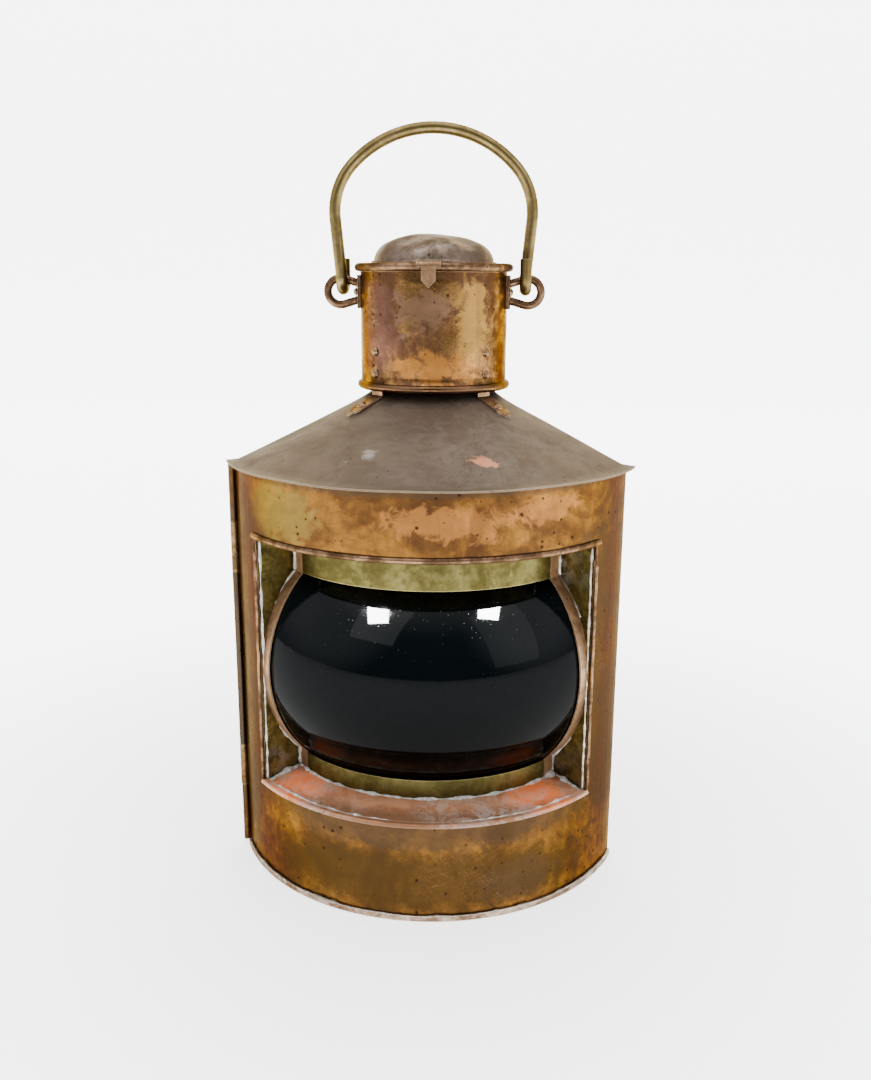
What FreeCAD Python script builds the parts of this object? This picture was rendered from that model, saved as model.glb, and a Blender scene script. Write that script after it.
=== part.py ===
"""Ship's side lantern: a copper housing with a curved front, a coloured barrel lens and a drum chimney.

Frame: millimetres, +Z up, front towards -Y. The origin is on the table, under the flame. The flame axis is
the Z axis, and the curved front, the lens, the roof's throat and the chimney drum are all round it.
Azimuths are degrees about +Z from the front (-Y) towards +X.

In plan the housing is an arc in front and two flat walls that meet at a right angle behind. The wall on
the -X side is a hinged door. Each function below makes one piece, or one group of like fasteners.
"""
import FreeCAD
import Part
import math
import os

V = FreeCAD.Vector
X = V(1, 0, 0)
Z = V(0, 0, 1)

# ---- sheet metal -------------------------------------------------------------------------------------
sheet = 1.0                 # copper and brass sheet
trim = 0.8                  # thinner sheet of the sill's tongue, the lid's catch and the dome's foot
film = 0.05                 # solder film between lapped sheets
gap = 0.3                   # clearance between pieces that move past each other
running = 0.05              # radial clearance of a pin in its knuckle

# ---- housing -----------------------------------------------------------------------------------------
half_width = 100.0          # flame axis to a front corner, across the housing
front_bulge = 1.07          # outer radius of the curved front, as a share of half_width
body_height = 217.0         # table to the top of the walls
base_flange = 3.0           # height of the base pan's turned-up edge
lap = 8.0                   # width of a soldered lap or jamb

# ---- window ------------------------------------------------------------------------------------------
window_half_deg = 52.0      # azimuth of the window's side edges
window_low = 51.4           # height of the window's lower edge
window_above = 32.7         # the window's upper edge to the top of the walls
bead_radius = 1.6           # wire bead along the window's upper edge
lip_radius = 1.1            # folded lip along its lower edge
sill_rise = 2.6             # the sill slopes up by this much from the lip to the lens
soffit_drop = 4.5           # the soffit slopes down by this much from the bead to the lens

# ---- lens --------------------------------------------------------------------------------------------
lens_setback = 24.6         # housing's front to the lens's straight collars
lens_bulge = 21.4           # the barrel's middle stands out from the collars by this much
lower_collar = 12.9         # the window's lower edge to where the barrel starts
upper_collar = 21.3         # the window's upper edge to where it ends
glass = 5.0                 # wall of the lens
lens_half_deg = 58.0        # the lens is cut at this azimuth on both sides
bedding = 1.5               # putty under and over the lens
strip_gap = 0.6             # between the glass and the metal in front of it
strip = 0.9                 # thickness of the metal in front of the glass
strip_inner_deg = 48.6      # azimuth of the side strips' inner edges
strip_outer_deg = 54.6      # azimuth where a cheek meets the collar's strip
lower_band = 10.0           # height of the lower lens band
upper_band = 16.5           # height of the upper lens band
shelf_inside = 1.5          # the sill and the soffit reach this far inside the collars
channel_clear = 0.6         # between the lens's cut edge and its channel
channel_toe_deg = 4.0       # a channel's toes reach this far behind the lens

# ---- roof --------------------------------------------------------------------------------------------
eave = 4.0                  # overhang of the roof's flat flange
roof_rise = 35.6            # the top of the walls to the throat's edge
throat_inside = 9.5         # the drum's outer face to the throat
flue_drop = 6.6             # the throat's edge down to the flue's lower end
flue_rise = 31.4            # the throat's edge up to the flue's upper end

# ---- chimney drum ------------------------------------------------------------------------------------
drum_radius = 38.5          # outer radius
drum_height = 58.6
drum_lift = 1.0             # the throat's edge to the drum's lower edge
drum_bead = 2.1             # radius of the wired lower edge
front_strap_deg = 47.5      # azimuth of a front strap
rear_strap_deg = 135.0      # azimuth of a rear strap
strap_width = 8.0
strap_inside = 28.0         # length of a strap inside the drum
front_strap_foot = 20.5     # length of a front strap on the roof
rear_strap_foot = 13.5      # length of a rear strap on the roof
strap_point = 6.0           # length of a strap's pointed end
strap_rivet = 0.5           # place of the roof rivet, as a share of the foot
drum_rivets = (7.9, 18.9)   # the drum's lower edge to each rivet of a strap
rivet_head = 2.3            # radius of a rivet head
rivet_rise = 0.62           # height of a rivet head, as a share of its radius
rivet_shank = 1.2

# ---- lid ---------------------------------------------------------------------------------------------
lid_bead = 2.1              # radius of the lid's wired edge
lid_overhang = 0.8          # the drum's outer face to that edge's centreline
dome_inside = 7.1           # the drum's outer face to the dome
dome_rise = 15.8
dome_turn = 7.4             # the dome's side to where it turns into its crown, in plan
dome_side = 10.4            # height of that turn
dome_belly = 1.8            # the side bulges out of its straight line by this much
dome_foot = 1.2             # width of the dome's flat foot
spigot_depth = 5.0
spigot_clear = 0.7          # between the spigot and the drum
catch_width = 12.0
tongue_width = 7.0
tongue_length = 10.0
lid_knuckle = 2.1           # radius of the lid hinge's knuckles
lid_pin = 1.0               # radius of its pin
lid_hinge_width = 15.0
lid_hinge_middle = 7.0      # width of the drum's knuckle between the lid's two
lid_leaf = 11.0             # length of the hinge leaf on the lid
drum_leaf_drop = 20.2       # the drum's upper edge to the lower end of its hinge leaf
drum_leaf_bend = 6.0        # the lid's wired edge to where that leaf bends out to the hinge
leaf_rivet = 4.0            # the leaf's lower end to its rivets

# ---- bail and its eyes -------------------------------------------------------------------------------
eye_wire = 2.1              # radius of the eyes' rod
eye_half = 6.8              # centre of the eye to the rod's centreline
eye_root = 3.6              # height from the eye's middle to each end, in the drum
eye_drop = 10.2             # the drum's upper edge to the middle of the eyes
eye_out = 10.7              # the drum's outer face to the centre of the eye's bend
eye_plate_width = 15.0
eye_plate_height = 17.0
eye_plate = 1.6             # thickness
eye_rivet_side = 5.0        # eye plate's middle to each of its rivets, across
bail_wire = 3.0             # radius of the bail's rod
bail_out = 1.8              # the eye's centre to the bail's widest point
bail_rise = 74.1            # the pivot to the rod's centreline at the crown
bail_shoulder_rise = 32.7   # the pivot to the centres of the shoulders' bends
bail_shoulder = 34.0        # bend radius of a shoulder
bail_lean_deg = 5.5         # a leg leans inward by this much below the shoulder
bail_knee = 22.0            # bend radius where a leg turns upright again
bail_tip = 10.0             # length of a hook's free end
hook_gap = 0.5              # between the eye's rod and the inside of a hook

# ---- door --------------------------------------------------------------------------------------------
door_pin = 1.2              # radius of the long hinge pin
door_knuckle = 2.0          # outer radius of its knuckles
knuckle_gap = 0.4           # between two knuckles, end to end
hinge_end = 1.4             # the hinge stops this far inside the base and the roof
door_axis_back = 0.64       # hinge axis to the front corner, along the wall
lower_leaf = (35.4, 58.6)   # heights of the ends of the lower hinge leaf
upper_leaf = (58.6, 32.4)   # the top of the walls down to the ends of the upper hinge leaf
door_head = 2.6             # the top of the walls down to the door's upper edge
door_edge = 3.2             # front corner to the door panel's edge, along the wall
door_leaf = 24.0            # front corner to the end of a hinge leaf on the door
frame_border = 10.0         # width of the metal round the doorway
catch_strip = 16.0          # width of the door's catch strip
catch_arm = 20.0            # its length on the door
catch_wrap = 14.0           # its length round the back corner
pull_from_corner = 26.0     # back corner to the door pull
pull_radius = 4.5
pull_reach = 11.0

# ---- oil lamp ----------------------------------------------------------------------------------------
fount_radius = 31.0
fount_high = 56.0
fount_wall = 1.0
fount_bevel = 3.5           # sloping edge at the top of the can
fount_crown = 3.0           # the can's top rises to the neck by this much
guide_height = 6.0          # rails on the floor that centre the fount
guide_half_deg = 25.0       # half the length of a rail
neck_radius = 12.0
neck_wall = 2.0
neck_rise = 8.0             # the can's edge to the top of the neck
burner_radius = 14.5
burner_collar = 4.0         # height of the collar, and of the wider part's foot
burner_rise = 22.0          # the neck to the shoulder of the cone
burner_cone = 11.0          # height of the cone
burner_wall = 1.5
wick_width = 16.0
wick_thick = 2.4
wick_sink = 36.0            # the can's edge down to the wick's lower end
wick_rise = 44.0            # the neck to the wick's upper end
wick_bare = 6.0             # the wick stands out of its tube by this much
tube_clear = 0.6            # between the wick and its tube
tube_wall = 0.5
slot_clear = 2.0            # the cone's slot is this much larger than the wick on each side
wheel_radius = 3.3          # winding wheels on the winder's shaft
wheel_width = 3.0
winder_rise = 10.0          # the neck to the winder's shaft
winder_shaft = 1.3
winder_reach = 31.0         # flame axis to the outer face of the knob
winder_knob = 6.5
knob_width = 2.2

# ---- places worked out from the sizes above ----------------------------------------------------------
front_radius = front_bulge * half_width
corner_y = -math.sqrt(front_radius ** 2 - half_width ** 2)
wall_line = half_width + corner_y               # both walls lie on |x| + y = wall_line
wall_distance = wall_line / math.sqrt(2)        # flame axis to a flat wall
corner_deg = math.degrees(math.asin(half_width / front_radius))
inner_radius = front_radius - sheet
floor = sheet + film                            # what stands on the base pan starts here
cone_low = body_height + sheet
window_high = body_height - window_above
collar_radius = front_radius - lens_setback
barrel_radius = collar_radius + lens_bulge
barrel_low = window_low + lower_collar
barrel_high = window_high - upper_collar
lens_low = window_low + sill_rise + bedding
lens_high = window_high - soffit_drop - bedding
lens_mid = (barrel_low + barrel_high) / 2
band_radius = collar_radius + strip_gap + strip
shelf_radius = collar_radius - glass - shelf_inside     # inner edge of the sill and of the soffit
throat_radius = drum_radius - throat_inside
throat_height = body_height + roof_rise
drum_low = throat_height + drum_lift
drum_high = drum_low + drum_height
strap_radius = math.sqrt((drum_radius - sheet - film) ** 2 - (strap_width / 2) ** 2)
lid_bead_ring = drum_radius + lid_overhang
dome_radius = drum_radius - dome_inside
dome_shoulder = dome_radius - dome_turn
drum_leaf_low = drum_high - drum_leaf_drop
lid_rim_height = drum_high + film + lid_bead
flange_top = lid_rim_height + lid_bead
lid_axis_y = lid_bead_ring + lid_bead + gap + lid_knuckle
eye_height = drum_high - eye_drop
eye_centre = drum_radius + eye_out
pivot_height = eye_height + eye_half            # the bail turns about the eyes' upper rods
bail_half = eye_centre + bail_out
bail_crown_height = pivot_height + bail_rise
bail_shoulder_height = pivot_height + bail_shoulder_rise
hook_radius = eye_wire + hook_gap + bail_wire
neck_high = fount_high + neck_rise
burner_high = neck_high + burner_rise
wick_low = fount_high - wick_sink
wick_high = neck_high + wick_rise
winder_height = neck_high + winder_rise
winder_offset = wick_thick / 2 + wheel_radius + running
E_WALL = V(1, 1, 0).normalize()                 # along the door, from its hinge to the back corner
N_WALL = V(-1, 1, 0).normalize()                # out of the door
CORNER = V(-half_width, corner_y, 0)            # front corner on the door's side
wall_length = half_width * math.sqrt(2)
door_axis_out = film + door_knuckle             # hinge axis to the door's outer face
door_low = base_flange + 2 * gap
door_high = body_height - door_head
catch_height = body_height / 2
door_knuckles = (lower_leaf, tuple(body_height - drop for drop in upper_leaf))
body_knuckles = ((hinge_end, lower_leaf[0] - knuckle_gap),
                 (lower_leaf[1] + knuckle_gap, door_knuckles[1][0] - knuckle_gap),
                 (door_knuckles[1][1] + knuckle_gap, body_height - hinge_end))
BEYOND = 2 * front_radius                       # farther than any piece reaches


# ---- helpers -----------------------------------------------------------------------------------------
def polar(radius, degrees, height=0.0):
    """A point at an azimuth."""
    a = math.radians(degrees)
    return V(radius * math.sin(a), -radius * math.cos(a), height)


def on_wall(along, out, height=0.0):
    """A point in the door's wall: along it from the front corner, and out of it."""
    return CORNER + E_WALL * along + N_WALL * out + Z * height


def line(a, b):
    return Part.LineSegment(a, b).toShape()


def arc(a, b, c):
    return Part.Arc(a, b, c).toShape()


def face_of(points):
    """A flat face with straight sides."""
    return Part.Face(Part.makePolygon(list(points) + [points[0]]))


def prism(points, height):
    """A level outline, raised."""
    return face_of(points).extrude(Z * height)


def turned(edges, from_deg=0.0, to_deg=360.0):
    """Edges in the plane x = 0, at y = -radius, turned about the flame axis between two azimuths."""
    solid = Part.Face(Part.Wire(Part.__sortEdges__(edges))).revolve(V(0, 0, 0), Z, to_deg - from_deg)
    solid.rotate(V(0, 0, 0), Z, from_deg)
    return solid


def profile(points):
    """Straight edges through (radius, height) points, closed."""
    corners = [V(0, -r, z) for r, z in points]
    return [line(a, b) for a, b in zip(corners, corners[1:] + corners[:1])]


def ring(r_in, r_out, low, high, from_deg=0.0, to_deg=360.0):
    """A tube round the flame axis, or a stretch of one."""
    return turned(profile([(r_in, low), (r_out, low), (r_out, high), (r_in, high)]), from_deg, to_deg)


def wire_ring(radius, height, wire, from_deg=0.0, to_deg=360.0):
    """A round wire bent about the flame axis."""
    return turned([Part.makeCircle(wire, V(0, -radius, height), X)], from_deg, to_deg)


def rod(base, axis, radius, length):
    return Part.makeCylinder(radius, length, base, axis)


def join(solids):
    """One solid from several that overlap."""
    solids = list(solids)
    return solids[0].fuse(solids[1:]).removeSplitter() if len(solids) > 1 else solids[0]


def group(solids):
    return Part.makeCompound(list(solids))


def mirrored(shape):
    """The same piece on the other side of the plane x = 0."""
    return shape.mirror(V(0, 0, 0), X)


def slab(out_low, out_high, low, high, side=1):
    """A long plate parallel to a flat wall, between two distances out of it; side is +1 or -1."""
    near, far = (wall_line + d * math.sqrt(2) for d in (out_low, out_high))
    ends = ((near, -BEYOND), (near, BEYOND), (far, BEYOND), (far, -BEYOND))
    points = [V(side * (c + s), -s, low) for c, s in ends]
    return prism(points, high - low)


def plan_corner(out):
    """Where the front arc meets a flat wall, both offset outward: its x and the walls' |x| + y."""
    r = front_radius + out
    c = wall_line + out * math.sqrt(2)
    return (c + math.sqrt(2 * r * r - c * c)) / 2, c


def plan_wire(out, height):
    """The housing's outline, offset outward: front arc, then each flat wall in two stretches."""
    x, c = plan_corner(out)
    right, left, back = V(x, c - x, height), V(-x, c - x, height), V(0, c, height)
    side_right, side_left = V(c / 2, c / 2, height), V(-c / 2, c / 2, height)
    return Part.Wire([arc(left, V(0, -front_radius - out, height), right), line(right, side_right),
                      line(side_right, back), line(back, side_left), line(side_left, left)])


def plan_prism(out, low, high):
    return Part.Face(plan_wire(out, low)).extrude(Z * (high - low))


def throat_wire(radius, height):
    """A circle in five arcs that match the stretches of plan_wire."""
    stops = (-corner_deg, corner_deg, rear_strap_deg, 180.0, 360.0 - rear_strap_deg, 360.0 - corner_deg)
    edges = [arc(polar(radius, a, height), polar(radius, (a + b) / 2, height), polar(radius, b, height))
             for a, b in zip(stops, stops[1:])]
    return Part.Wire(edges)


def roof_run(degrees):
    """The roof's slope at a strap's azimuth: radius at the eave, and the way down it as (out, down)."""
    eave_radius = front_radius if abs(degrees) < 90.0 else wall_distance
    run, drop = eave_radius - throat_radius - sheet, throat_height - cone_low
    length = math.hypot(run, drop)
    return eave_radius, run / length, drop / length


def roof_height(radius, degrees):
    eave_radius, out, down = roof_run(degrees)
    return cone_low + (eave_radius - radius) * down / out


def rivet(place):
    """A domed rivet; a place is a point under its head, the way its head looks, and its grip."""
    point, axis, grip = place
    rise = rivet_rise * rivet_head
    ball = (rivet_head ** 2 + rise ** 2) / (2 * rise)
    dome = Part.makeSphere(ball, point + axis * (rise - ball)).common(rod(point, axis, rivet_head, 2 * rise))
    return join([dome, rod(point - axis * grip, axis, rivet_shank, grip + rise / 2)])


def bored(shape, places):
    """The shape with rivet holes."""
    for point, axis, grip in places:
        shape = shape.cut(rod(point - axis * 2 * grip, axis, rivet_shank + film, 3 * grip))
    return shape


# ---- lens envelope -----------------------------------------------------------------------------------
def lens_edges(offset, low, high):
    """The lens's outer line, moved out by offset: a collar, the barrel's arc and a collar."""
    r, mid = collar_radius + offset, barrel_radius + offset
    a, b = V(0, -r, low), V(0, -r, barrel_low)
    c, d = V(0, -r, barrel_high), V(0, -r, high)
    return [line(a, b), arc(b, V(0, -mid, lens_mid), c), line(c, d)]


def along_lens(inner, outer, low, high, from_deg, to_deg):
    """A curved sheet that follows the lens, between two offsets from its outer line."""
    near, far = collar_radius + inner, collar_radius + outer
    ends = [line(V(0, -far, z), V(0, -near, z)) for z in (low, high)]
    return turned(lens_edges(outer, low, high) + lens_edges(inner, low, high) + ends, from_deg, to_deg)


def inside_lens(offset, low, high):
    """Everything within the lens's outer line moved out by offset."""
    r = collar_radius + offset
    close = [line(V(0, -r, high), V(0, 0, high)), line(V(0, 0, high), V(0, 0, low)),
             line(V(0, 0, low), V(0, -r, low))]
    return turned(lens_edges(offset, low, high) + close)


def cheek_line():
    """The +X cheek in plan: its start at the window's edge, its direction inward, and its width."""
    start = polar(inner_radius - film, window_half_deg)
    end = polar(band_radius, strip_outer_deg)
    return start, (end - start).normalize(), (end - start).Length


def bay(low, high):
    """The space in front of the lens, between the faces of the two cheeks."""
    start, way, width = cheek_line()
    outer, inner = start - way * 3 * width, start + way * 2 * width
    return prism([V(outer.x, outer.y, low), V(inner.x, inner.y, low),
                  V(-inner.x, inner.y, low), V(-outer.x, outer.y, low)], high - low)


# ---- housing -----------------------------------------------------------------------------------------
def door_axis(height=0.0):
    """A point on the door's hinge axis."""
    return on_wall(-door_axis_back, door_axis_out, height)


def front_shell():
    """The curved front with its window, and hinge knuckles rolled from its door-side edge."""
    wall = ring(inner_radius, front_radius, floor, body_height, -corner_deg, corner_deg)
    window = ring(inner_radius - sheet, front_radius + sheet, window_low, window_high,
                  -window_half_deg, window_half_deg)
    axis = door_axis()
    axis_deg = math.degrees(math.atan2(axis.x, -axis.y))
    pieces = [wall.cut(window)]
    for low, high in body_knuckles:
        pieces.append(ring(inner_radius, front_radius, low, high, axis_deg, axis_deg / 2 - corner_deg / 2))
        pieces.append(rod(door_axis(low), Z, door_knuckle, high - low))
    return join(pieces).cut(rod(door_axis(), Z, door_pin + running, body_height))


def lap_fold(side):
    """The edge of a flat wall, folded round inside the front shell."""
    r = inner_radius - film
    lap_deg = math.degrees(lap / r)
    low_deg, high_deg = sorted((side * corner_deg, side * (corner_deg - lap_deg)))
    return ring(r - sheet, r, floor, body_height, low_deg, high_deg)


def right_wall():
    """The fixed flat wall."""
    wall = slab(-sheet, 0.0, floor, body_height).common(Part.makeCylinder(inner_radius - film, body_height))
    wall = wall.cut(slab(-sheet - gap, BEYOND, floor, body_height, -1))
    return join([wall, lap_fold(1).cut(slab(0.0, BEYOND, floor, body_height))])


def door_frame():
    """The fixed frame behind the door, with the doorway."""
    front, back = -sheet - gap, -2 * sheet - gap
    inside = Part.makeCylinder(inner_radius - film, body_height)
    plate = slab(back, front, floor, body_height, -1).common(inside)
    plate = plate.cut(slab(-sheet - film, BEYOND, floor, body_height))
    start, stop = frame_border, wall_length - frame_border
    doorway = prism([on_wall(start, 0, frame_border), on_wall(stop, 0, frame_border),
                     on_wall(stop, 2 * back, frame_border), on_wall(start, 2 * back, frame_border)],
                    body_height - 2 * frame_border)
    fold = lap_fold(-1).cut(slab(front, BEYOND, floor, body_height, -1))
    return join([plate.cut(doorway), fold])


def base_pan():
    """The floor, with an edge turned up outside the front and the fixed wall."""
    door_side = slab(-sheet - gap, BEYOND, 0.0, base_flange, -1)
    edge = plan_prism(sheet + film, 0.0, base_flange).cut(plan_prism(film, 0.0, base_flange))
    return join([plan_prism(sheet + film, 0.0, sheet), edge]).cut(door_side)


def roof():
    """The roof: a cone in front, two steep faces behind, a flat eave and a round throat."""
    inset, lift = 1.2 * sheet, 0.75 * sheet
    outer = Part.makeLoft([plan_wire(0.0, cone_low), throat_wire(throat_radius + sheet, throat_height)],
                          True, True)
    inner = Part.makeLoft([plan_wire(-inset, cone_low - lift),
                           throat_wire(throat_radius + sheet - inset, throat_height - lift)], True, True)
    flange = plan_prism(eave, body_height + film, cone_low)
    shell = join([outer, flange]).cut(inner).cut(plan_prism(-inset, body_height, cone_low - lift / 2))
    shell = shell.cut(rod(V(0, 0, body_height), Z, throat_radius + film, 2 * roof_rise))
    return bored(shell, [roof_rivet_place(d) for d in STRAPS.values()])


def flue():
    """The pipe from the roof's throat up into the drum."""
    return ring(throat_radius - sheet, throat_radius, throat_height - flue_drop, throat_height + flue_rise)


# ---- window ------------------------------------------------------------------------------------------
def window_bead():
    """Half-round wire along the window's upper edge."""
    reach = window_half_deg + math.degrees(bead_radius / front_radius)
    bead = wire_ring(front_radius + film, window_high + bead_radius / 4, bead_radius, -reach, reach)
    return bead.cut(Part.makeCylinder(front_radius + film, body_height))


def sill():
    """The sloping sill under the lens, with a rolled lip over the window's lower edge."""
    edge, top, step = inner_radius - film, window_low + sill_rise, window_low + film
    plate = turned(profile([(edge, window_low - sheet), (edge, window_low), (band_radius, top),
                            (shelf_radius, top), (shelf_radius, top - sheet), (band_radius, top - sheet)]),
                   -corner_deg, corner_deg).common(bay(window_low - sheet, top))
    reach = window_half_deg - math.degrees(film / front_radius)
    lip_ring = front_radius + lip_radius / 3
    tongue = ring(inner_radius - 2 * sheet, lip_ring, step, step + trim, -reach, reach)
    lip = wire_ring(lip_ring, step + lip_radius / 4, lip_radius, -reach, reach)
    lip = lip.cut(ring(inner_radius - sheet, front_radius + film, 0.0, step))
    return join([plate, tongue, lip])


def soffit():
    """The sheet over the lens, from the bead to the upper band."""
    edge, low = inner_radius - film, window_high - soffit_drop
    points = [(edge, window_high + sheet), (edge, window_high), (band_radius, low), (shelf_radius, low),
              (shelf_radius, low + sheet), (band_radius, low + sheet)]
    return turned(profile(points), -corner_deg, corner_deg).common(bay(low, window_high + sheet))


def cheek():
    """The flat plate between the window's +X edge and the lens."""
    start, way, width = cheek_line()
    low, high = window_low + sill_rise - 2 * sheet, window_high - soffit_drop + 2 * sheet
    away = V(way.y, -way.x, 0)
    end = start + way * (width + 2 * strip)
    points = [start, end, end + away * strip, start + away * strip]
    plate = prism([V(p.x, p.y, low) for p in points], high - low)
    return plate.cut(inside_lens(strip_gap, low - 1, high + 1)).common(
        Part.makeCylinder(inner_radius - film, body_height))


def side_strip():
    """The +X strip that follows the barrel along the cheek's curved edge."""
    low, high = window_low + sill_rise + film, window_high - soffit_drop - film
    bent = along_lens(strip_gap, strip_gap + strip, low, high, strip_inner_deg, corner_deg)
    return bent.common(bay(low, high))


def lens_band(low, height):
    reach = strip_inner_deg - math.degrees(gap / band_radius)
    return ring(band_radius - strip, band_radius, low, low + height, -reach, reach)


def lower_lens_band():
    return lens_band(window_low + sill_rise + film, lower_band)


def upper_lens_band():
    return lens_band(window_high - soffit_drop - film - upper_band, upper_band)


def lens():
    """The coloured barrel lens."""
    return along_lens(-glass, 0.0, lens_low, lens_high, -lens_half_deg, lens_half_deg)


def lens_bed(low):
    """A bed of putty under or over the lens."""
    return ring(collar_radius - glass, collar_radius, low + film, low + bedding - film,
                -window_half_deg, window_half_deg)


def lens_channel():
    """The +X upright that holds the lens's cut edge, soldered inside the front shell."""
    web_deg = lens_half_deg + math.degrees(channel_clear / collar_radius)
    inner = collar_radius - glass - gap - sheet
    thick_deg = math.degrees(sheet / collar_radius)
    pieces = [ring(inner, inner_radius - film, lens_low, lens_high, web_deg, web_deg + thick_deg)]
    toe_height = barrel_low - lens_low - bedding
    for low in (lens_low, lens_high - toe_height):
        pieces.append(ring(inner, inner + sheet, low, low + toe_height,
                           lens_half_deg - channel_toe_deg, web_deg + thick_deg))
    return join(pieces)


# ---- chimney -----------------------------------------------------------------------------------------
STRAPS = {"front_right_strap": front_strap_deg, "front_left_strap": -front_strap_deg,
          "rear_right_strap": rear_strap_deg, "rear_left_strap": -rear_strap_deg}


def strap_foot(degrees):
    return front_strap_foot if abs(degrees) < 90.0 else rear_strap_foot


def roof_rivet_place(degrees):
    """A strap's rivet through the roof."""
    out, down = roof_run(degrees)[1:]
    radius = strap_radius + strap_foot(degrees) * strap_rivet * out
    axis = polar(down, degrees) + Z * out
    surface = polar(radius, degrees, roof_height(radius, degrees))
    return surface + axis * (sheet + 2 * film), axis, 3 * sheet


def drum_rivet_places(degrees):
    """A strap's two rivets through the drum."""
    grip = sheet + film + drum_radius - strap_radius
    return [(polar(drum_radius, degrees, drum_low + rise), polar(1, degrees), grip) for rise in drum_rivets]


def strap(degrees):
    """A strap riveted inside the drum and bent out on to the roof, with a pointed end."""
    out, down = roof_run(degrees)[1:]
    foot = strap_foot(degrees)
    back = strap_radius - sheet

    def over_roof(radius, lift):
        return V(0, -radius, roof_height(radius, degrees) + lift / out)

    tip = strap_radius + foot * out
    step = V(0, -down, out) * sheet
    outline = [V(0, -back, drum_low + strap_inside), V(0, -strap_radius, drum_low + strap_inside),
               over_roof(strap_radius, sheet + film), over_roof(tip, film) + step, over_roof(tip, film),
               over_roof(back, film)]
    half = strap_width / 2
    bent = face_of([p - V(half, 0, 0) for p in outline]).extrude(V(strap_width, 0, 0))
    shoulder = tip - strap_point * out
    corners = ((-half, 0), (half, 0), (half, -shoulder), (0, -tip), (-half, -shoulder))
    arrow = prism([V(x, y, 0) for x, y in corners], drum_high)
    bent = bent.common(arrow)
    bent.rotate(V(0, 0, 0), Z, degrees)
    return bored(bent, [roof_rivet_place(degrees)] + drum_rivet_places(degrees))


def strap_roof_rivets():
    return group(rivet(roof_rivet_place(d)) for d in STRAPS.values())


def strap_drum_rivets():
    return group(rivet(place) for d in STRAPS.values() for place in drum_rivet_places(d))


def eye_rivet_places(side):
    """The rivets through one eye's plate."""
    face = V(side * (drum_radius + film + eye_plate), 0, eye_height)
    return [(face + V(0, s * eye_rivet_side, 0), V(side, 0, 0), eye_plate + 2 * sheet) for s in (-1, 1)]


def hinge_rivet_places():
    """The rivets through the hinge leaf on the drum."""
    face = drum_radius + film + sheet
    return [(V(side * lid_hinge_middle / 2, face, drum_leaf_low + leaf_rivet), V(0, 1, 0), 3 * sheet)
            for side in (-1, 1)]


def drum():
    """The chimney drum, with a wired lower edge."""
    r_in, centre = drum_radius - sheet, drum_low + drum_bead / 2
    foot = V(0, -r_in, centre - math.sqrt(drum_bead ** 2 - sheet ** 2))
    over = V(0, -drum_radius, centre + drum_bead)
    inner_top, outer_top = V(0, -r_in, drum_high), V(0, -drum_radius, drum_high)
    shell = turned([line(inner_top, foot), arc(foot, V(0, -drum_radius - drum_bead, centre), over),
                    line(over, outer_top), line(outer_top, inner_top)])
    places = [p for d in STRAPS.values() for p in drum_rivet_places(d)]
    places += eye_rivet_places(1) + eye_rivet_places(-1) + hinge_rivet_places()
    return mirrored(eye_holes(mirrored(eye_holes(bored(shell, places)))))


# ---- eyes and bail -----------------------------------------------------------------------------------
def eye_holes(shape):
    """The shape with holes for the +X eye's two ends."""
    for side in (-1, 1):
        root, bend = eye_root_point(side), eye_bend_point(side)
        way = (bend - root).normalize()
        shape = shape.cut(rod(root - way * eye_centre, way, eye_wire + film, 2 * eye_centre))
    return shape


def eye_root_point(side):
    """Where the +X eye's upper or lower end stops, flush inside the drum."""
    return V(drum_radius - sheet, 0, eye_height + side * eye_root)


def eye_bend_point(side):
    """Where that end runs into the eye's round bend, tangent to it."""
    root = eye_root_point(side) - V(eye_centre, 0, eye_height)
    turn = math.atan2(side * root.z, root.x) - math.acos(eye_half / root.Length)
    return V(eye_centre + eye_half * math.cos(turn), 0, eye_height + side * eye_half * math.sin(turn))


def eye_plate_right():
    """The plate under the +X eye, bent to the drum."""
    half = math.degrees(eye_plate_width / 2 / drum_radius)
    low = eye_height - eye_plate_height / 2
    near, far = drum_radius + film, drum_radius + film + eye_plate
    plate = ring(near, far, low, low + eye_plate_height, 90 - half, 90 + half)
    return bored(eye_holes(plate), eye_rivet_places(1))


def eye_right():
    """The +X eye: a loop of round rod through its plate and the drum."""
    outer = V(eye_centre + eye_half, 0, eye_height)
    path = [line(eye_root_point(-1), eye_bend_point(-1)), arc(eye_bend_point(-1), outer, eye_bend_point(1)),
            line(eye_bend_point(1), eye_root_point(1))]
    return swept(path, eye_wire, eye_bend_point(-1) - eye_root_point(-1))


def swept(path, radius, start_way):
    """Round rod along a path of tangent lines and arcs."""
    wire = Part.Wire(path)
    circle = Part.Wire(Part.makeCircle(radius, path[0].Vertexes[0].Point, start_way))
    return wire.makePipeShell([circle], True, True)


def eye_rivets():
    return group(rivet(place) for side in (-1, 1) for place in eye_rivet_places(side))


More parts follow.
